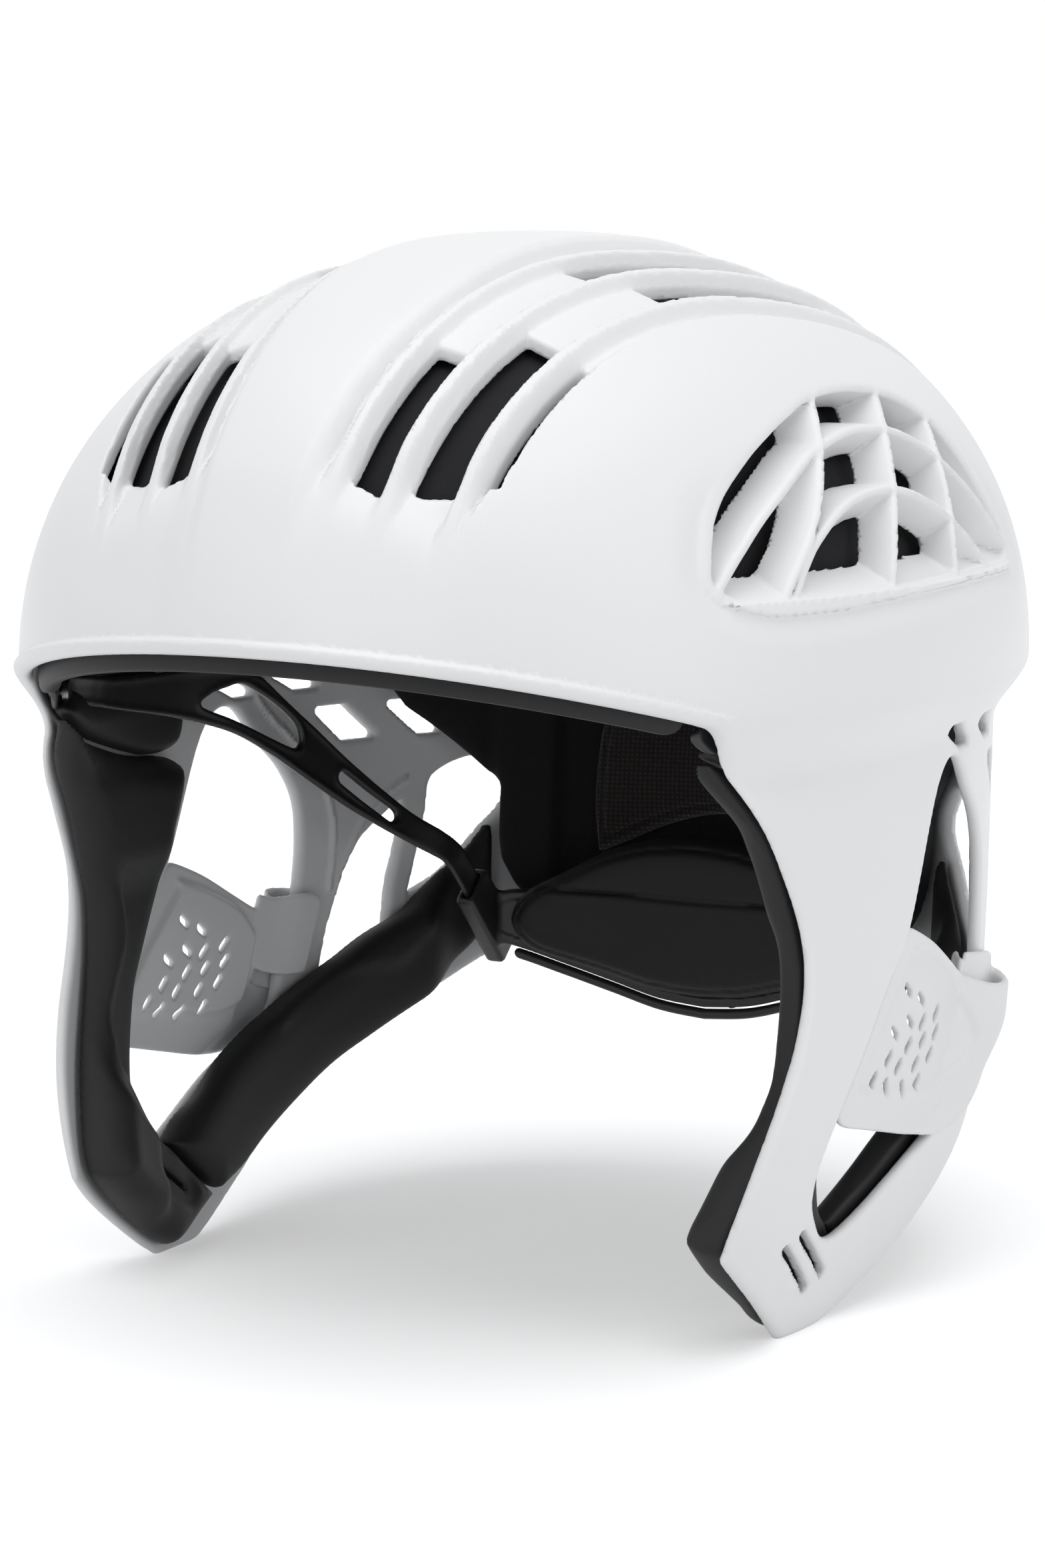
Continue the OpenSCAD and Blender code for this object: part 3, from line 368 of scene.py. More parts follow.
def settle(p, value, e, rounds, least, reach):
    """Points drawn on to the surface where value is nought, and the normals there.

    e is the step of the slopes, least the smallest square of a slope, reach the longest move."""
    def slope(q, f):
        return np.stack([(value(q + e * np.eye(3)[i]) - f) / e for i in range(3)], -1)

    for _ in range(rounds):
        f = value(p)
        g = slope(p, f)
        move = -f[:, None] * g / np.maximum((g * g).sum(1), least)[:, None]
        length = np.linalg.norm(move, axis=1)[:, None]
        p = p + move * np.minimum(1.0, reach / np.maximum(length, 1e-9))
    g = slope(p, value(p))
    return p, g / np.maximum(np.linalg.norm(g, axis=1), 1e-9)[:, None]


def shell_mesh(step):
    """Points, faces and normals of the shell, from a grid of the given step."""
    hop = int(round(step / PITCH))
    xs, ys, zs = X_AXIS[::hop], Y_AXIS[::hop], Z_AXIS[::hop]
    side = {k: v[::hop, ::hop][None, :, :] for k, v in side_map.items()}
    plan = {k: v[::hop, ::hop][:, :, None] for k, v in plan_map.items()}
    half = shell_field(xs[:, None, None], ys[None, :, None], zs[None, None, :], side, plan).astype(np.float32)
    reach = 3.0 * step
    p, faces = contour(np.clip(np.concatenate([half[:0:-1], half], 0), -reach, reach), reach)
    p = p * step + np.array([-(len(xs) - 1) * step, ys[0], zs[0]])

    def value(q):
        x = np.abs(q[:, 0])
        s = {k: sample(v, Y_AXIS[0], Z_AXIS[0], q[:, 1], q[:, 2]) for k, v in side_map.items()}
        t = {k: sample(v, X_AXIS[0], Y_AXIS[0], x, q[:, 1]) for k, v in plan_map.items()}
        return shell_field(x, q[:, 1], q[:, 2], s, t)

    p, normals = settle(p, value, 0.15, 2, 0.15, 0.45 * step)
    return p, faces, normals


def to_object(name, points, faces, mat, normals=None):
    """Mesh object from points in design millimetres."""
    v = (points + np.array([0.0, SHIFT, 0.0])) / 1000.0
    mesh = bpy.data.meshes.new(name)
    mesh.from_pydata(v.tolist(), [], faces)
    mesh.update()
    b = bmesh.new()
    b.from_mesh(mesh)
    if b.calc_volume(signed=True) < 0:
        bmesh.ops.reverse_faces(b, faces=b.faces)
        b.to_mesh(mesh)
    b.free()
    mesh.polygons.foreach_set("use_smooth", [True] * len(mesh.polygons))
    if normals is not None:
        mesh.normals_split_custom_set_from_vertices(normals.tolist())
    obj = bpy.data.objects.new(name, mesh)
    bpy.context.scene.collection.objects.link(obj)
    mesh.materials.append(mat)
    return obj


def skin(field, axes):
    """Closed surface of a field: points in the axes' units, and faces."""
    a, b, c = axes
    values = np.array(field(a[:, None, None], b[None, :, None], c[None, None, :]), np.float32)
    for k in range(3):
        for end in (0, -1):
            face = [slice(None)] * 3
            face[k] = end
            values[tuple(face)] = np.maximum(values[tuple(face)], 0.2)
    p, faces = contour(values, 5.0)
    return p * [ax[1] - ax[0] for ax in axes] + [ax[0] for ax in axes], faces


def grid_axes(*ranges):
    """An axis for each (low, high, step)."""
    return [np.arange(lo, hi + step, step) for lo, hi, step in ranges]


def bent(field, axes, place):
    """Surface of a field in unrolled coordinates, laid in place."""
    p, faces = skin(field, axes)
    return place(p), faces


def solid(field, axes, rounds=2):
    """Surface of a field in millimetres, drawn on to it, with its true normals."""
    p, faces = skin(field, axes)
    p, normals = settle(p, lambda q: field(q[:, 0], q[:, 1], q[:, 2]), 0.05, rounds, 0.2, 0.3)
    return p, faces, normals


def box_field(p, q, r, half, k):
    """Rounded box round the origin."""
    return smax(smax(np.abs(p) - half[0], np.abs(q) - half[1], k), np.abs(r) - half[2], k)


# Materials. Sockets by number: a colour Mix has its factor at 0 and its colours at 6 and 7; a MapRange has its value
# at 0, what it maps from at 1 and 2, and to at 3 and 4.
def node(tree, kind, sockets=None, **settings):
    """New shader node. Each of its sockets gets a value or a link from an output."""
    made = tree.nodes.new(kind)
    for key, value in settings.items():
        setattr(made, key, value)
    for key, value in (sockets or {}).items():
        if isinstance(value, bpy.types.NodeSocket):
            tree.links.new(value, made.inputs[key])
        else:
            made.inputs[key].default_value = value
    return made


def tint(base, share, more=0.0):
    """Socket value of a colour that is lighter or darker than the base."""
    return (*[min(1.0, c * share + more) for c in base], 1)


def material(name, base, rough, grain, bump, shade, spec=0.5, sheen=0.0, metallic=0.0, worn=0.0, weave=0.0):
    """Mottled and grained material; worn lightens its edges, and weave is the scale of its threads."""
    m = bpy.data.materials.new(name)
    m.use_nodes = True
    t = m.node_tree
    t.nodes.clear()
    where = node(t, "ShaderNodeTexCoord").outputs["Object"]
    fine = node(t, "ShaderNodeTexNoise", {"Vector": where, "Scale": grain * 20.0, "Detail": 6.0}).outputs[0]
    wide = node(t, "ShaderNodeTexNoise", {"Vector": where, "Scale": 14.0, "Detail": 3.0}).outputs[0]
    colour = node(t, "ShaderNodeMix", {0: wide, 6: tint(base, 1 - shade), 7: tint(base, 1 + shade)},
                  data_type="RGBA").outputs[2]
    height = fine
    if worn:
        shape = node(t, "ShaderNodeNewGeometry").outputs["Pointiness"]
        edge = node(t, "ShaderNodeMapRange", {0: shape, 1: 0.53, 2: 0.62, 4: worn}).outputs[0]
        colour = node(t, "ShaderNodeMix", {0: edge, 6: colour, 7: tint(base, 2.5, 0.02)},
                      data_type="RGBA").outputs[2]
    if weave:
        thread = {"Vector": where, "Scale": weave, "Distortion": 1.5, "Detail Scale": 3.0}
        threads = [node(t, "ShaderNodeTexWave", thread, bands_direction=way).outputs["Fac"] for way in ("X", "Z")]
        cross = node(t, "ShaderNodeMath", {0: threads[0], 1: threads[1]}, operation="MULTIPLY").outputs[0]
        colour = node(t, "ShaderNodeMix", {0: cross, 6: colour, 7: tint(base, 2.6)}, data_type="RGBA").outputs[2]
        height = node(t, "ShaderNodeMath", {0: cross, 1: fine}, operation="ADD").outputs[0]
    span = node(t, "ShaderNodeMapRange", {0: fine, 3: rough - 0.05, 4: rough + 0.05})
    relief = node(t, "ShaderNodeBump", {"Strength": bump, "Distance": 0.0006, "Height": height})
    shader = node(t, "ShaderNodeBsdfPrincipled", {
        "Base Color": colour, "Roughness": span.outputs[0], "Normal": relief.outputs[0],
        "Specular IOR Level": spec, "Sheen Weight": sheen, "Metallic": metallic})
    node(t, "ShaderNodeOutputMaterial", {0: shader.outputs[0]})
    return m


LOOKS = {
    "shell_white": dict(base=(0.855, 0.857, 0.86), rough=0.42, grain=90, bump=0.06, shade=0.012, spec=0.45),
    "guard_white": dict(base=(0.84, 0.842, 0.846), rough=0.5, grain=90, bump=0.08, shade=0.012),
    "foam_black": dict(base=(0.016, 0.016, 0.018), rough=0.85, grain=220, bump=0.4, shade=0.2, spec=0.25),
    "pad_black": dict(base=(0.010, 0.010, 0.011), rough=0.6, grain=140, bump=0.12, shade=0.15, spec=0.32, sheen=0.03),
    "comfort_fabric": dict(base=(0.020, 0.017, 0.016), rough=0.9, grain=110, bump=0.5, shade=0.4, spec=0.2,
                           sheen=0.25, weave=260.0),
    "band_black": dict(base=(0.018, 0.018, 0.02), rough=0.38, grain=80, bump=0.05, shade=0.1, worn=0.5),
    "nape_black": dict(base=(0.016, 0.016, 0.017), rough=0.45, grain=80, bump=0.08, shade=0.1, worn=0.5),
    "metal": dict(base=(0.22, 0.22, 0.23), rough=0.35, grain=90, bump=0.03, shade=0.04, metallic=1.0),
    "dial_black": dict(base=(0.018, 0.018, 0.019), rough=0.5, grain=90, bump=0.08, shade=0.1, worn=0.5)}
looks = {name: material(name, **values) for name, values in LOOKS.items()}

# The look of each CAD node
wears = {
    "shell_white": ["outer_shell"],
    "guard_white": ["ear_guard_left", "ear_guard_right"],
    "foam_black": ["crown_liner", "side_liner_left", "side_liner_right", "rear_liner"],
    "pad_black": ["brow_pad", "temple_pad_left", "temple_pad_right", "front_jaw_pad_left", "front_jaw_pad_right",
                  "rear_jaw_pad_left", "rear_jaw_pad_right", "nape_pad"],
    "comfort_fabric": ["rear_comfort_pad"],
    "band_black": ["band_arm_left", "band_arm_right"],
    "nape_black": ["nape_cradle", "nape_piping"],
    "metal": ["band_rivets", "dial_spool", "dial_spindle"],
    "dial_black": ["dial_housing", "dial_knob", "dial_cap"]}
for look, names in wears.items():
    for name in names:
        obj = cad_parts[name]
        obj.data.materials.clear()
        obj.data.materials.append(looks[look])

# Pieces
points, faces, normals = shell_mesh(1.0)
shell = to_object("moulded_shell", points, faces, looks["shell_white"], normals)
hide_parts("outer_shell")
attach(shell, "shell")


def piece(name, made, look, nodes, body):
    """Object for the made surface, on its body, in place of its CAD nodes."""
    obj = to_object(name, made[0], made[1], looks[look], *made[2:])
    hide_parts(*nodes)
    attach(obj, body)


def pair(name, made, look, nodes, body):
    """The same piece on both sides; nodes are given without their side."""
    piece(name + "_left", made, look, [n + "_left" for n in nodes], body)
    other = [made[0] * [-1, 1, 1], made[1]] + [m * [-1, 1, 1] for m in made[2:]]
    piece(name + "_right", other, look, [n + "_right" for n in nodes], body)


def wall_pad(outline, box, top, k, cut=None, lean=lambda y, z: 0.0):
    """Moulded pad on a side wall: top gives its face's depth at each (y, z), and k rounds the face's edge."""
    d, y, z = grid_axes((box[0], box[1], 0.7), (box[2], box[3], 1.0), (box[4], box[5], 1.0))
    yy, zz = y[:, None], z[None, :]
    edge = area(yy, zz, outline)
    face = top(yy, zz, edge)
    slope = lean(yy, zz)    # narrows the pad towards its back

    def field(d, y, z):
        f = smax(smax(edge + slope * (face - d), d - face, k), SEAT - d, 1.2)
        return f if cut is None else smax(f, -cut(yy, zz), 0.8)

    return bent(field, (d, y, z), side_place)


def crown(edge, w, share=0.16):
    """Share of its thickness that a pad keeps: less towards its edge, over the width w."""
    return 1.0 - share * (1.0 - np.clip(-edge / w, 0, 1)) ** 2


# Front jaw pad: one moulded roll from the temple to the chin, thinner towards the ear, with a slit for the strap
front_pad = curve([(-73.5, 138.4), (-68, 128.5), (-58, 115.7), (-51.2, 101.5), (-46.8, 89.5), (-46.6, 78), (-49, 65),
                   (-54.2, 51), (-60, 37), (-62.6, 29), (-61, 23.6), (-45, 9.3), (-36.5, 3.4), (-30.5, 2.4), (-18, 6.4),
                   (-7.6, 10), (-21.7, 24.8), (-27.6, 29.6), (-30.5, 34.5), (-32, 40), (-30.9, 46), (-27.6, 57),
                   (-25, 65), (-20.8, 73), (-16.6, 81), (-13.2, 87.5), (-11.2, 94), (-10, 100.8), (-7.6, 106),
                   (-5.2, 112.5), (-5.2, 119), (-12.5, 121.2), (-20.5, 122), (-29, 123.6), (-38, 126),
                   (-48, 128.8), (-58, 132), (-66, 135.2)], sharp=(0, 15, 16))
roll = np.vstack([curve([(-69.5, 108.8), (-50, 99), (-42.4, 92), (-39, 80.1), (-43.5, 70), (-47.3, 61.7), (-47.3, 55),
                         (-46, 48), (-38.4, 38.1), (-30.1, 29.9)], closed=False), [(-40, 0), (-90, 10), (-90, 100)]])
slit = np.array([(-37.2, 24.9), (-25.2, 15.2)])


def front_top(y, z, e):
    """Depth of the front pad's face: lower behind the roll line and round the slit, fuller at the chin."""
    behind = soft((area(y, z, roll) + 1.0) / 6.0) * (1.0 - soft((z - 88.0) / 12.0)) * soft((z - 28.0) / 10.0)
    bulge = 0.8 * soft((z - 92.0) / 10.0) * (1.0 - soft((z - 116.0) / 8.0))
    strap = 1.4 * (1.0 - soft((line_distance(y, z, slit)[0] - 2.5) / 4.0))
    bulge = bulge + 4.2 * soft((64.0 - z) / 24.0) * soft((z - 6.0) / 14.0) * soft(-area(y, z, roll) / 8.0)
    return SEAT + (8.8 + bulge - 2.6 * behind - strap) * crown(e, 9.0)


pair("jaw_pad_front", wall_pad(front_pad, (3.0, 20.0, -76, -2, 0, 141), front_top, 9.0,
                               cut=lambda y, z: line_distance(y, z, slit)[0] - 0.7),
     "pad_black", ["front_jaw_pad"], "shell")

# Rear jaw pad: along the rail and up behind the strut, thinner where it nears the rear lining
rear_pad = curve([(-22.2, 25.2), (-7.8, 10.2), (5, 13.6), (17.3, 18.7), (33.8, 25.6), (49.5, 32.6), (64, 38.4),
                  (80.7, 46.4), (90, 53), (97, 59.5), (101, 68), (102, 80), (102.5, 91), (100.5, 94), (95.5, 87),
                  (88, 80), (83, 76), (76.9, 71.4), (66.4, 66.6), (56.5, 61.4), (43.5, 56), (27, 49.3), (9, 41.8),
                  (-1.5, 36.2), (-14, 29.6)], sharp=(0, 1))
fold = curve([(28, 46), (44, 52.5), (56.9, 56.5), (70, 56.5), (77, 62), (82, 69), (75, 85), (40, 70)])


def rear_top(y, z, e):
    """Depth of the rear pad's face: fuller inside the fold line, lower behind the strut."""
    thick = 8.6 + 1.1 * soft(-area(y, z, fold) / 5.0 + 0.3) - 5.2 * soft((y - 78.0) / 15.0)
    return SEAT + thick * crown(e, 9.0, 0.2)


pair("jaw_pad_rear", wall_pad(rear_pad, (3.0, 16.0, -24, 106, 8, 98), rear_top, 5.0,
                              lean=lambda y, z: 0.3 * soft((y + 16.0) / 14.0)),
     "pad_black", ["rear_jaw_pad"], "shell")

# Ear guard: a perforated plate behind the seam, rolled out at the strut into a cup that is open above
guard_edge = curve([(-0.6, 92.0), (4, 91.0), (15, 86.6), (26, 80.8), (33, 77), (38.5, 74.4), (44.5, 72.3), (51, 71.2),
                    (58, 71.2), (64, 72.2), (69, 74), (74, 73), (71, 66), (66, 57.5), (60.5, 50.5), (54, 46.4),
                    (45, 42.8), (33, 40.5), (20, 39.6), (7, 41.5), (-8, 44.9), (-22, 48.2), (-29.5, 50), (-33, 52),
                    (-33.6, 54.8), (-25.2, 66), (-18.8, 73.4), (-12.2, 81), (-3.2, 90.2)])
cup_edge = curve([(30, 79), (36.6, 80), (44, 79.6), (50.6, 78.8), (60, 77), (67, 74.6), (73, 72), (71, 60), (50, 52),
                  (30, 60)])
hook_edge = curve([(34, 60), (52, 57.5), (55, 66), (54, 77), (42, 77.8), (34, 78)])
guard_face = curve([(-0.1, 84.6), (1.7, 88.3), (16.3, 83.6), (28.9, 76.8), (38, 65), (36.5, 55.5), (16.8, 49.1),
                    (-4, 52.8), (-26.5, 57), (-17.9, 68.8)])
# Each perforation: the (y, z) of its middle, and which way it slants; half its length in y and z, and its radius
HOLE_HALF, HOLE_R = (1.2, 0.9), 1.05
HOLES = [(3.2, 76.7, -1), (11, 73.4, -1), (20.6, 68.3, 1), (4.3, 69, -1), (11.7, 67.7, 1), (-4.4, 67.8, -1),
         (12.1, 63.3, 1), (20.6, 63.8, 1), (3.6, 63.5, 1), (-7.2, 62.3, 1), (-1.5, 59.4, 1), (8.5, 58.2, 1),
         (17.3, 59, 1), (-15, 58.6, 1), (-9, 55.9, 1), (0.1, 53.8, 1), (10, 53.6, 1)]


def bent_wall(y, d, line, half):
    """Distance from a wall of the given half thickness along a section line."""
    best = np.full(np.broadcast(y, d, line[0][0]).shape, 1e9)
    for a, b in zip(line[:-1], line[1:]):
        e, g = b[0] - a[0], b[1] - a[1]
        t = np.clip(((y - a[0]) * e + (d - a[1]) * g) / np.maximum(e * e + g * g, 1e-9), 0, 1)
        best = np.minimum(best, (y - a[0] - t * e) ** 2 + (d - a[1] - t * g) ** 2)
    return np.sqrt(best) - half


def guard_field(d, y, z):
    """Guard in unrolled coordinates: its sections are a curve of (y, depth) at each height."""
    # y of the guard's seam and of the strut's two edges at each height, and how far the cup stands out
    seam = np.interp(z, (54.2, 65.5, 80.4, 92.1), (-34.8, -26.7, -13.6, -1.0)) + 1.0
    fore = np.interp(z, (36.8, 46.8, 60, 78, 98), (10.0, 36.0, 43.5, 50.0, 51.5))
    back = np.interp(z, (51, 64, 74, 82.8), (55.6, 59.4, 63.0, 66.5))
    out = 1.5 + 4.4 * soft((z - 44.0) / 20.0)
    nil = 0.0 * z
    outer = curve([(seam - 3, 1.3 + nil), (seam + 5, 2.0 + nil), (fore - 18, 1.9 + nil), (fore - 12, 1.2 - 0.12 * out),
                   (fore - 5, 0.1 - 0.5 * out), (fore + 2, -0.86 * out), ((fore + back) / 2 + 1, -out),
                   (back - 2.5, -0.88 * out), (back + 0.8, -0.58 * out), (back + 2.4, -0.1 * out - 0.4)],
                  closed=False, steps=3)
    inner = curve([(fore - 9, 1.6 + nil), (fore - 5, -0.3 + nil), (fore, -1.1 + nil), (back, -1.1 + nil),
                   (back + 2.4, -0.8 + nil)], closed=False, steps=2)
    hook = curve([(fore - 12, 2.0 + nil), (fore - 6, 3.6 + nil), (fore - 1, 5.7 + nil), (fore + 5, 6.0 + nil)],
                 closed=False, steps=2)
    edge = area(y, z, guard_edge)
    face = area(y, z, guard_face)
    width = 2.2 + 2.2 * (1.0 - soft((z - 52.0 + 0.2 * y) / 6.0))
    sunk = d - 1.5 * soft(-face / width)
    wall = bent_wall(y, sunk, outer, 0.85 + 0.2 * soft(1.0 + edge / 2.0))
    wall = smax(wall, edge, 1.4)
    long, high = HOLE_HALF
    holes = [np.array([(a - long, b - high * s), (a + long, b + high * s)]) for a, b, s in HOLES]
    holes = np.minimum.reduce([line_distance(y, z, line)[0] for line in holes]) - HOLE_R
    wall = smax(wall, -holes, 0.4)
    wall = smin(wall, smax(bent_wall(y, d, inner, 0.6), area(y, z, cup_edge), 1.0), 0.8)
    return smin(wall, smax(bent_wall(y, d, hook, 0.8), area(y, z, hook_edge), 1.4), 0.8)


points, faces, _ = solid(guard_field, grid_axes((-8.4, 8.0, 0.5), (-37, 74, 0.7), (38, 94, 0.7)))
pair("ear_cover", (side_place(points), faces), "guard_white", ["ear_guard"], "shell")

# Temple pad: above the front jaw pad, with a turned-down tip behind
temple_pad = curve([(-71.5, 139.2), (-65.5, 135.8), (-57.5, 132.5), (-47.5, 129.3), (-37.5, 126.5), (-28.5, 124.1),
                    (-20.6, 122.2), (-13, 121.9), (-6, 123.6), (-3.4, 129), (-3.6, 136), (-8, 141.6), (-30, 142.6),
                    (-50, 143.2), (-66, 142.6)], sharp=(6,))
pair("temple_cushion", wall_pad(temple_pad, (3.0, 13.0, -74, 0, 119, 146),
                                lambda y, z, e: SEAT + 6.0 * crown(e, 6.0, 0.15), 3.0),
     "pad_black", ["temple_pad"], "shell")


# Brow roll, with a groove along it: unrolled as plan angle in degrees, height above its lower edge and depth
def brow_place(p):
    """Points (angle, height, depth) laid in the front wall."""
    u, r, d = np.radians(p[:, 0]), p[:, 1], p[:, 2]

    def at(z):
        half, fore, _ = spans(z, d)
        n = 2.0 / front_plan(z)
        c, s = np.cos(u), np.sin(u)
        return half * np.sign(c) * np.abs(c) ** n, fore * np.sign(s) * np.abs(s) ** n

    z = brim_z(at(BELT + 8.0 + 0 * d)[1]) - 3.0 + r
    x, y = at(z)
    return np.stack([x, y, z], -1)


def brow_field(u, r, d):
    ends = (np.abs(u - 270.0) - 52.0) * 1.9
    hi = SEAT + 6.0 * (1.0 - 0.12 * (np.clip((r - 6.4) / 6.4, -1, 1)) ** 2) - 1.3 * np.exp(-((r - 4.4) / 0.7) ** 2)
    return smax(smax(smax(np.abs(r - 6.2) - 6.2, ends, 6.0), d - hi, 5.0), SEAT + 0.2 - d, 1.0)


piece("brow_roll", bent(brow_field, grid_axes((215.5, 324.5, 0.5), (-1.2, 14, 0.5), (3.2, 12.4, 0.6)), brow_place),
      "pad_black", ["brow_pad"], "shell")


# Linings
def crown_field(x, y, z):
    """Foam under the crown, with grooves, a recess behind each side vent and slanted holes."""
    x = np.abs(x)
    deep = -depth(x, y, z)
    grooves = 1.6 * (1.0 - soft((np.abs(x - 20.0) - 1.0) / 2.5)) + 1.6 * (1.0 - soft((np.abs(x - 50.0) - 1.0) / 2.5))
    body = smax(7.7 - deep, deep - 16.2 + grooves, 3.0)
    seam = 170.0 + np.where(y < -48, 0.06 * (-48.0 - y) + 0.5, 0.0)
    body = smax(body, seam - z, 2.0)
    body = smax(body, -smax(area(y, z, vent) - 3.5, deep - 12.4, 2.0), 1.5)
    for c in (-62, -34, -6, 22, 50):
        body = smax(body, -(line_distance(x, y, np.array([(26.0, c), (40.0, c + 10.0)]))[0] - 3.0), 1.2)
    return body


piece("crown_lining", solid(crown_field, grid_axes((-106, 106, 2.0), (-128, 142, 2.0), (165, 246, 1.6)), rounds=1),
      "foam_black", ["crown_liner"], "shell")

side_pad = curve([(-78, 150.6), (0, 150.2), (86, 150.6), (88, 153), (86, 166), (80, 167.8), (0, 168), (-72, 167.8),
                  (-77, 166), (-79, 153)])


def side_top(y, z, e):
    """Depth of the side lining's face, with a groove along its middle."""
    return SEAT + 8.6 * crown(e, 5.0, 0.1) - 1.4 * np.exp(-((z - 159) / 1.0) ** 2)


pair("side_lining", wall_pad(side_pad, (3.0, 16.0, -82, 91, 148, 170), side_top, 5.0),
     "foam_black", ["side_liner"], "shell")

rear_rows = np.array([(53, 70), (57.5, 76), (60.5, 83), (61.5, 90), (61.5, 103), (65.5, 109), (71.5, 117),
                      (77.5, 125), (80.5, 133), (79.5, 143), (76.5, 154), (69.5, 165)], float)
rear_line = np.vstack([rear_rows, rear_rows[::-1] * [-1, 1]])


def rear_field(x, d, z):
    """Foam on the back wall, with two channels, two moulded lines and a notch for the dial."""
    gap = (3.6 * (1.0 - soft((np.abs(np.abs(x) - 43.0) - 4.5) / 2.0)) * soft((z - 72.0) / 4.0)
           * (1.0 - soft((z - 124.0) / 8.0)))
    rib = 1.2 * np.exp(-((np.abs(x) - 62.0) / 1.2) ** 2)
    body = smax(smax(area(x, z, rear_line), d - 14.2 + gap + rib, 5.0), SEAT + 0.2 - d, 1.2)
    return smax(body, -smax(np.abs(x) - (notch_half(z) + 1.7), z - 82.6, 8.0), 2.0)


piece("rear_lining", bent(rear_field, grid_axes((-84, 84, 1.2), (3.2, 16.4, 0.7), (67, 168, 1.2)), rear_place),
      "foam_black", ["rear_liner"], "shell")

# Fabric comfort pad at the back, with an arched lower edge and a stitched border
comfort_line = curve([(-36.5, 85), (-30, 87.8), (-20, 92.4), (-10, 95.4), (0, 96.4), (10, 95.4), (20, 92.4),
                      (30, 87.8), (36.5, 85), (38, 100), (36.5, 120), (31, 125.6), (0, 127.6), (-31, 125.6),
                      (-36.5, 120), (-38, 100)], sharp=(0, 8))


def comfort_field(x, d, z):
    back = 15.2
    e = area(x, z, comfort_line)
    hem = 0.9 * np.exp(-((e + 3.2) / 0.6) ** 2)
    hi = back + 6.2 * crown(e, 16.0, 0.3) - hem
    return smax(smax(e, d - hi, 5.0), back - d, 1.0)


piece("comfort_cushion", bent(comfort_field, grid_axes((-40, 40, 0.8), (14, 24, 0.6), (82, 130, 0.8)), rear_place),
      "comfort_fabric", ["rear_comfort_pad"], "shell")

# Band arms: a flat moulded strip with a window and a slot, from its rivet to the cradle's sleeve
SLIDE = (0.68, -0.7332)    # the way in which the cradle slides, (y, z)


def slide_at(s):
    """Point (y, z) of an arm's straight end, s along it."""
    return 77 + 0.68 * s, 79 - 0.733 * s


MID = slide_at(13)    # middle of a sleeve
# The arm's middle line: (y, z, depth) while it follows the wall, then (x, y, z)
arm_points = [(-78, 143.5, 6.6), (-73, 143.5, 6.6), (-67, 143, 6.6), (-61, 142.8, 7.2), (-53, 141.5, 13),
              (-40, 139.5, 14.5), (-18, 137, 17), (3, 133, 20), (20, 126.4, 20.5)]
arm_mid = [(float(side_x(np.float64(y), np.float64(z), d)), y, z) for y, z, d in arm_points]
arm_mid += [(80.0, 33.5, 117.0), (74.0, 46.0, 106.6), (66.0, 58.0, 96.3), (60.6, 65.4, 91.5), (58.4, 68.8, 87.8)]
arm_mid += [(SLEEVE_X, *slide_at(s)) for s in (-6, 0, 10, 20, 26)]
arm_mid = curve(arm_mid, closed=False, steps=8)
arm_shape = curve([(-72, 147.6), (-66, 147.3), (-58, 146.2), (-48, 144.8), (-38, 144), (-25, 143.6), (-12, 143.4),
                   (0, 142.6), (11.9, 139.8), (16.7, 137.4), (25.8, 131), (36.2, 123.2), (45.9, 113.8), (53.7, 106),
                   (61, 99), (68.3, 93.4), (71.7, 90.3), (79.9, 81.7), (93.5, 67), (87.7, 61.6), (74.1, 76.3),
                   (65.9, 85.1), (62.5, 88.5), (54.5, 93.9), (43.2, 101.7), (30.8, 110.7), (17.2, 119.1), (0.9, 126.3),
                   (-16.3, 131.2), (-28.5, 133.6), (-38, 135.2), (-48, 137), (-58, 138.8), (-66, 139.3), (-72, 139.6),
                   (-76, 143.6)], sharp=(18, 19))
arm_window = curve([(-9.5, 133.9), (-6.4, 136.3), (0, 137.7), (5.6, 138), (12.5, 135.2), (21.5, 130.6), (28.4, 125.2),
                    (29.4, 120.8), (27.6, 119.5), (24, 120.4), (13, 125), (1, 129.7)])
arm_slot = np.array([(42, 110.3), (53.6, 99.7)])


def arm_x(y, z):
    """x of the arm's middle line nearest to (y, z)."""
    best = np.full(y.shape, 1e9)
    x = np.zeros(y.shape)
    for a, b in zip(arm_mid[:-1], arm_mid[1:]):
        e = b - a
        t = np.clip(((y - a[1]) * e[1] + (z - a[2]) * e[2]) / max(e[1] ** 2 + e[2] ** 2, 1e-9), 0, 1)
        far = (y - a[1] - t * e[1]) ** 2 + (z - a[2] - t * e[2]) ** 2
        near = far < best
        best = np.where(near, far, best)
        x = np.where(near, a[0] + t * e[0], x)
    return x


def arm_field(w, y, z):
    e = np.maximum(area(y, z, arm_shape), -area(y, z, arm_window))
    e = np.maximum(e, 1.7 - line_distance(y, z, arm_slot)[0])
    rim = 0.28 * soft((1.9 + e) / 0.8) * (1.0 - soft((y - 52.0) / 8.0))
    return smax(e, np.abs(w) - 0.75 - rim, 0.9)


pair("band_strip", bent(arm_field, grid_axes((-2.0, 2.0, 0.35), (-79, 96, 0.7), (58, 150, 0.7)),
                        lambda p: np.stack([arm_x(p[:, 1], p[:, 2]) + p[:, 0], p[:, 1], p[:, 2]], -1)),
     "band_black", ["band_arm"], "shell")

# Nape cradle: one curved plate with a sleeve at each end; plate gives x, y, height and width of the plate
plate = curve([(0, 99, 62, 28), (13, 98.7, 62.6, 26.5), (26, 97.3, 64.5, 23), (40, 94, 67, 19), (52, 90, 69, 15),
               (60, 86, 69, 12)], closed=False)


def plate_at(x, k):
    return np.interp(np.abs(x), plate[:, 0], plate[:, k])


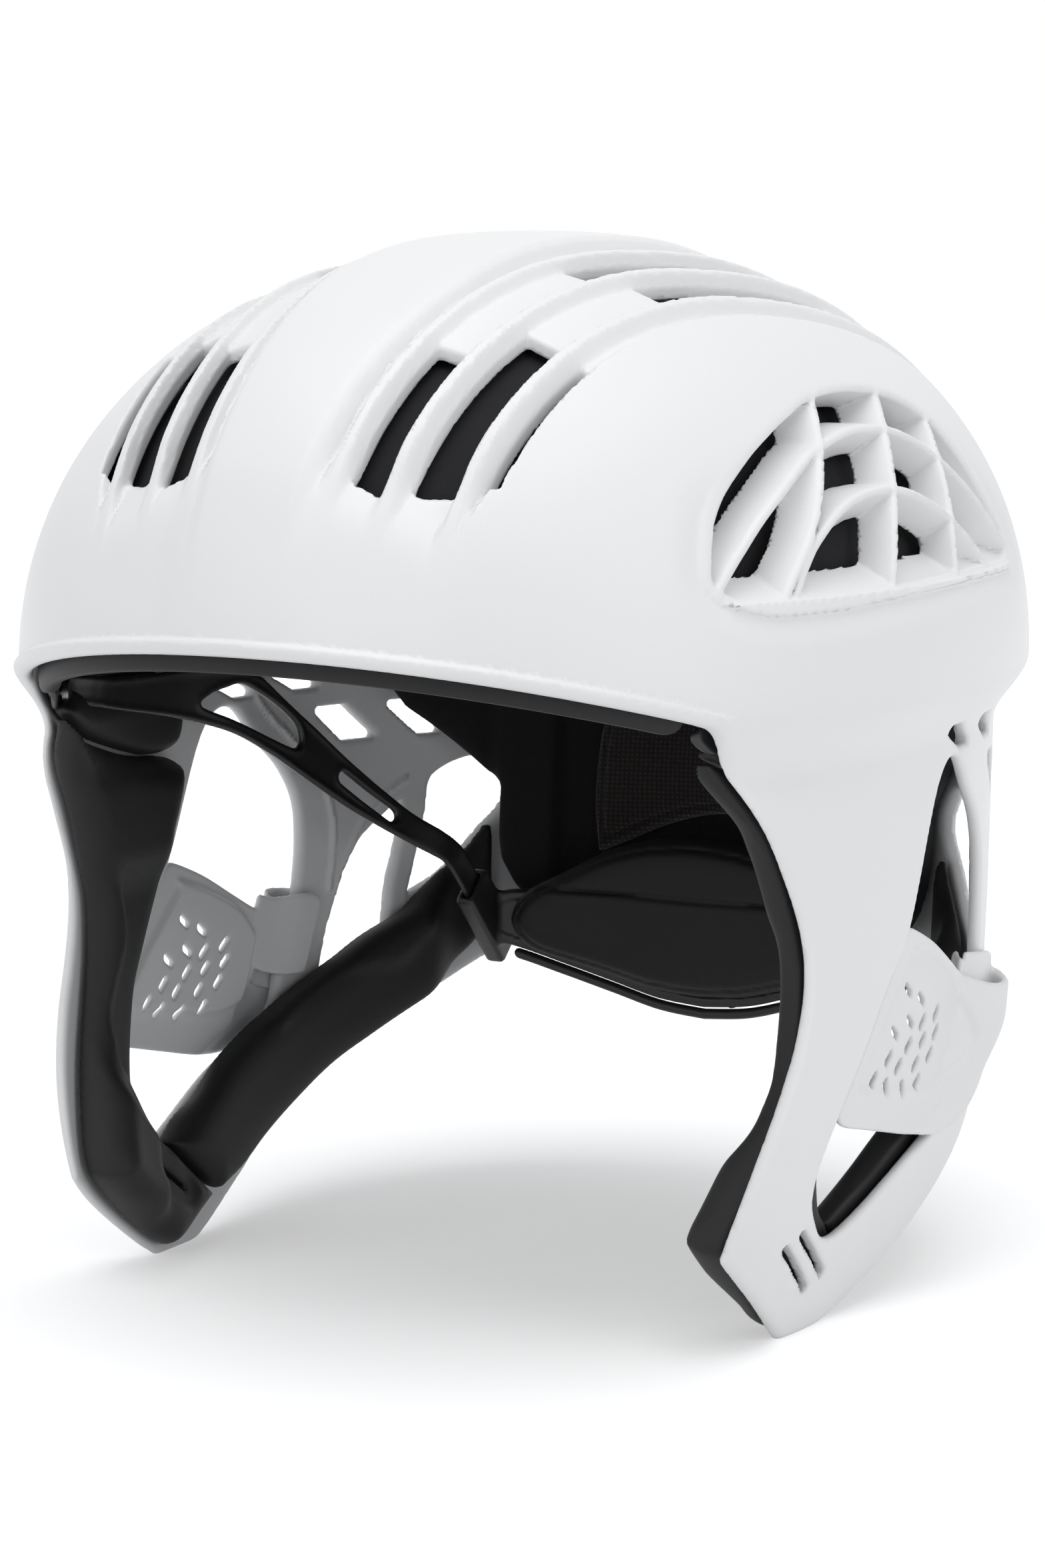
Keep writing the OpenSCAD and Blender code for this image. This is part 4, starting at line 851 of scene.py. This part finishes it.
def sleeve_field(x, y, z):
    """The sleeves with their grip ribs, and their bores."""
    side = np.abs(x) - SLEEVE_X
    along = (y - MID[0]) * SLIDE[0] + (z - MID[1]) * SLIDE[1]
    over = (y - MID[0]) * -SLIDE[1] + (z - MID[1]) * SLIDE[0]
    body = box_field(side, over, along, (2.75, 5.9, 13.0), 1.4)
    grip = np.abs(np.mod(along + 1.5, 3.0) - 1.5) - 0.6
    body = smax(body, -smax(smax(grip, np.abs(along + 5.0) - 5.5, 0.4), 2.35 - side, 0.4), 0.3)
    return body, box_field(side, over, along, (1.1, 4.3, 20.0), 0.4)


def cradle_field(x, y, z):
    e = smax(np.abs(z - plate_at(x, 2)) - plate_at(x, 3) / 2.0, np.abs(x) - 60.0, 6.0)
    ridge = 0.4 * soft((3.2 + e) / 1.0)
    body = smax(e, np.abs(y - plate_at(x, 1)) - 1.6 - ridge, 1.4)
    sleeve, bore = sleeve_field(x, y, z)
    body = smax(smin(body, sleeve, 1.5), -bore, 0.4)
    return smax(body, 2.56 - np.sqrt(x * x + (z - DIAL_Z) ** 2), 0.3)    # bore of the spindle


piece("nape_plate", solid(cradle_field, grid_axes((-62.5, 62.5, 0.8), (72, 103, 0.6), (44, 89, 0.8))), "nape_black",
      ["nape_cradle"], "cradle")

# Nape pad: two crowned panels with a sewn channel between them; pad_mid gives its height and width along x
pad_mid = curve([(0, 72, 42), (13, 72, 40), (26, 71.8, 33), (40, 70, 22), (52, 69, 12)], closed=False)


def nape_field(x, v, z):
    back = 2.4
    e = smax(np.abs(z - np.interp(np.abs(x), pad_mid[:, 0], pad_mid[:, 1]))
             - np.interp(np.abs(x), pad_mid[:, 0], pad_mid[:, 2]) / 2.0, np.abs(x) - 51.5, 8.0)
    sewn = 1.2 * np.exp(-((z - 77.2 - 0.0006 * x * x) / 0.55) ** 2) * soft((46.0 - np.abs(x)) / 4.0)
    hem = 0.7 * np.exp(-((e + 2.6) / 0.5) ** 2)
    hi = back + 6.2 * crown(e, 9.0, 0.3) - sewn - hem
    body = smax(smax(e, v - hi, 5.0), back - v, 1.2)
    return smax(body, -smax(np.sqrt(x * x + (z - DIAL_Z) ** 2) - 5.5, v - 3.9, 0.6), 0.5)    # room for the spindle


piece("nape_cushion", bent(nape_field, grid_axes((-53.5, 53.5, 0.8), (1.6, 10.0, 0.5), (48, 96, 0.8)),
                           lambda p: np.stack([p[:, 0], plate_at(p[:, 0], 1) - p[:, 1], p[:, 2]], -1)),
      "pad_black", ["nape_pad"], "cradle")

# Piping under the cradle's edge
CORD_END = 52.0
cord_line = np.array([(x, plate_at(x, 1), plate_at(x, 2) - plate_at(x, 3) / 2.0 - 1.9)
                      for x in np.linspace(-CORD_END, CORD_END, 53)])


def piping_field(x, y, z):
    yy = np.interp(x, cord_line[:, 0], cord_line[:, 1])
    zz = np.interp(x, cord_line[:, 0], cord_line[:, 2])
    lean = 0.8 + 0.2 * np.clip(1.0 - np.abs(x) / CORD_END, 0, 1)
    round_part = (np.sqrt((y - yy) ** 2 + (z - zz) ** 2) - 1.4) * lean
    return smax(round_part, np.abs(x) - CORD_END, 1.5)


piece("nape_edge", solid(piping_field, grid_axes((-54, 54, 0.7), (84, 103, 0.45), (42.5, 64, 0.45))), "nape_black",
      ["nape_piping"], "cradle")


# Dial: a fluted knob with a turned cap; the y of each one's back, and half its length
KNOB_Y, KNOB_HALF = 109.15, 4.5
CAP_Y, CAP_HALF = 116.2, 1.1


def knob_field(x, y, z):
    z = z - DIAL_Z
    r, turn = np.sqrt(x * x + z * z), np.arctan2(z, x)
    flute = np.abs(np.mod(turn, 2 * math.pi / 24) - math.pi / 24) * r
    rim = r - 16.4 + 0.9 * soft((flute - 0.2) / 1.5)
    body = smax(rim, np.abs(y - (KNOB_Y + KNOB_HALF)) - KNOB_HALF, 2.2)
    body = smax(body, -smax(r - 12.5, CAP_Y - y, 0.5), 0.6)
    return smax(body, -smax(r - 2.5, y - 116.0, 0.3), 0.3)


piece("dial_grip", solid(knob_field, grid_axes((-17.6, 17.6, 0.5), (108.4, 119, 0.5), (44.4, 79.6, 0.5))), "dial_black",
      ["dial_knob"], "dial")


def cap_field(x, y, z):
    r = np.sqrt(x * x + (z - DIAL_Z) ** 2)
    mid = CAP_Y + CAP_HALF
    ring = 0.35 * np.exp(-((r - 8.6) / 0.5) ** 2)
    return smax(smax(r - 12.15, y - mid - CAP_HALF + 0.0035 * r * r + ring, 0.9), mid - CAP_HALF - y, 0.4)


piece("dial_lid", solid(cap_field, grid_axes((-13, 13, 0.5), (115.6, 119.4, 0.4), (49, 75, 0.5))), "dial_black",
      ["dial_cap"], "dial")


# Floor, light and camera
def seen(t):
    """1 for rays from the camera, and for those that metal or glass sends on."""
    path = node(t, "ShaderNodeLightPath").outputs
    best = path["Is Camera Ray"]
    for name in ("Is Glossy Ray", "Is Transmission Ray"):
        best = node(t, "ShaderNodeMath", {0: best, 1: path[name]}, operation="MAXIMUM").outputs[0]
    return best


# For those rays the floor glows, from 0.38 at 0.3 m to 1 at 1.4 m, so that it ends in the white background
floor_mat = material("floor", (0.95, 0.95, 0.95), rough=0.8, grain=10, bump=0.0, shade=0.0, spec=0.1)
t = floor_mat.node_tree
away = node(t, "ShaderNodeVectorMath", {0: node(t, "ShaderNodeNewGeometry").outputs["Position"]}, operation="LENGTH")
fade = node(t, "ShaderNodeMapRange", {0: away.outputs["Value"], 1: 0.3, 2: 1.4, 3: 0.38, 4: 1.0})
lift = node(t, "ShaderNodeMath", {0: seen(t), 1: fade.outputs[0]}, operation="MULTIPLY")
glow = node(t, "ShaderNodeEmission", {"Strength": lift.outputs[0]})
both = node(t, "ShaderNodeAddShader", {0: t.nodes["Principled BSDF"].outputs[0], 1: glow.outputs[0]})
t.links.new(both.outputs[0], t.nodes["Material Output"].inputs[0])
bpy.ops.mesh.primitive_plane_add(size=12.0, location=(0, 0, 0))
floor = bpy.context.object
floor.name = "floor"
floor.data.materials.append(floor_mat)


def lamp(name, where, at, size, power):
    """Area lamp that shines from where to at; size in metres, power in watts."""
    data = bpy.data.lights.new(name, "AREA")
    data.shape = "RECTANGLE"
    data.size, data.size_y = size
    data.energy = power
    obj = bpy.data.objects.new(name, data)
    obj.location = where
    obj.rotation_euler = (Vector(at) - Vector(where)).to_track_quat("-Z", "Y").to_euler()
    bpy.context.scene.collection.objects.link(obj)


lamp("top", (0.1, -0.2, 1.7), (0, 0, 0.1), (1.6, 1.6), 15)
lamp("front", (-0.6, -1.6, 0.9), (0, 0, 0.12), (1.2, 1.2), 5)
lamp("near_side", (1.6, -0.3, 0.6), (0, 0, 0.12), (1.0, 1.2), 5)

# Soft grey light all round, and a white background for those rays
world = bpy.data.worlds.new("studio")
bpy.context.scene.world = world
world.use_nodes = True
t = world.node_tree
t.nodes.clear()
plain = node(t, "ShaderNodeBackground", {0: (0.9, 0.92, 0.95, 1), 1: 0.42})
bright = node(t, "ShaderNodeBackground", {0: (1, 1, 1, 1), 1: 1.0})
mix = node(t, "ShaderNodeMixShader", {0: seen(t), 1: plain.outputs[0], 2: bright.outputs[0]})
node(t, "ShaderNodeOutputWorld", {0: mix.outputs[0]})

# Camera, fitted to the photo
cam_data = bpy.data.cameras.new("camera")
cam_data.sensor_fit = "HORIZONTAL"
cam_data.sensor_width = 36.0
cam_data.lens = 157.9
cam_data.clip_end = 50.0
cam = bpy.data.objects.new("camera", cam_data)
cam.location = (0.5305, -0.9674, 0.2692)
cam.rotation_euler = Vector((-0.4788, 0.8674, -0.1357)).to_track_quat("-Z", "Y").to_euler()
bpy.context.scene.collection.objects.link(cam)
bpy.context.scene.camera = cam
bpy.context.scene.view_settings.view_transform = "Standard"
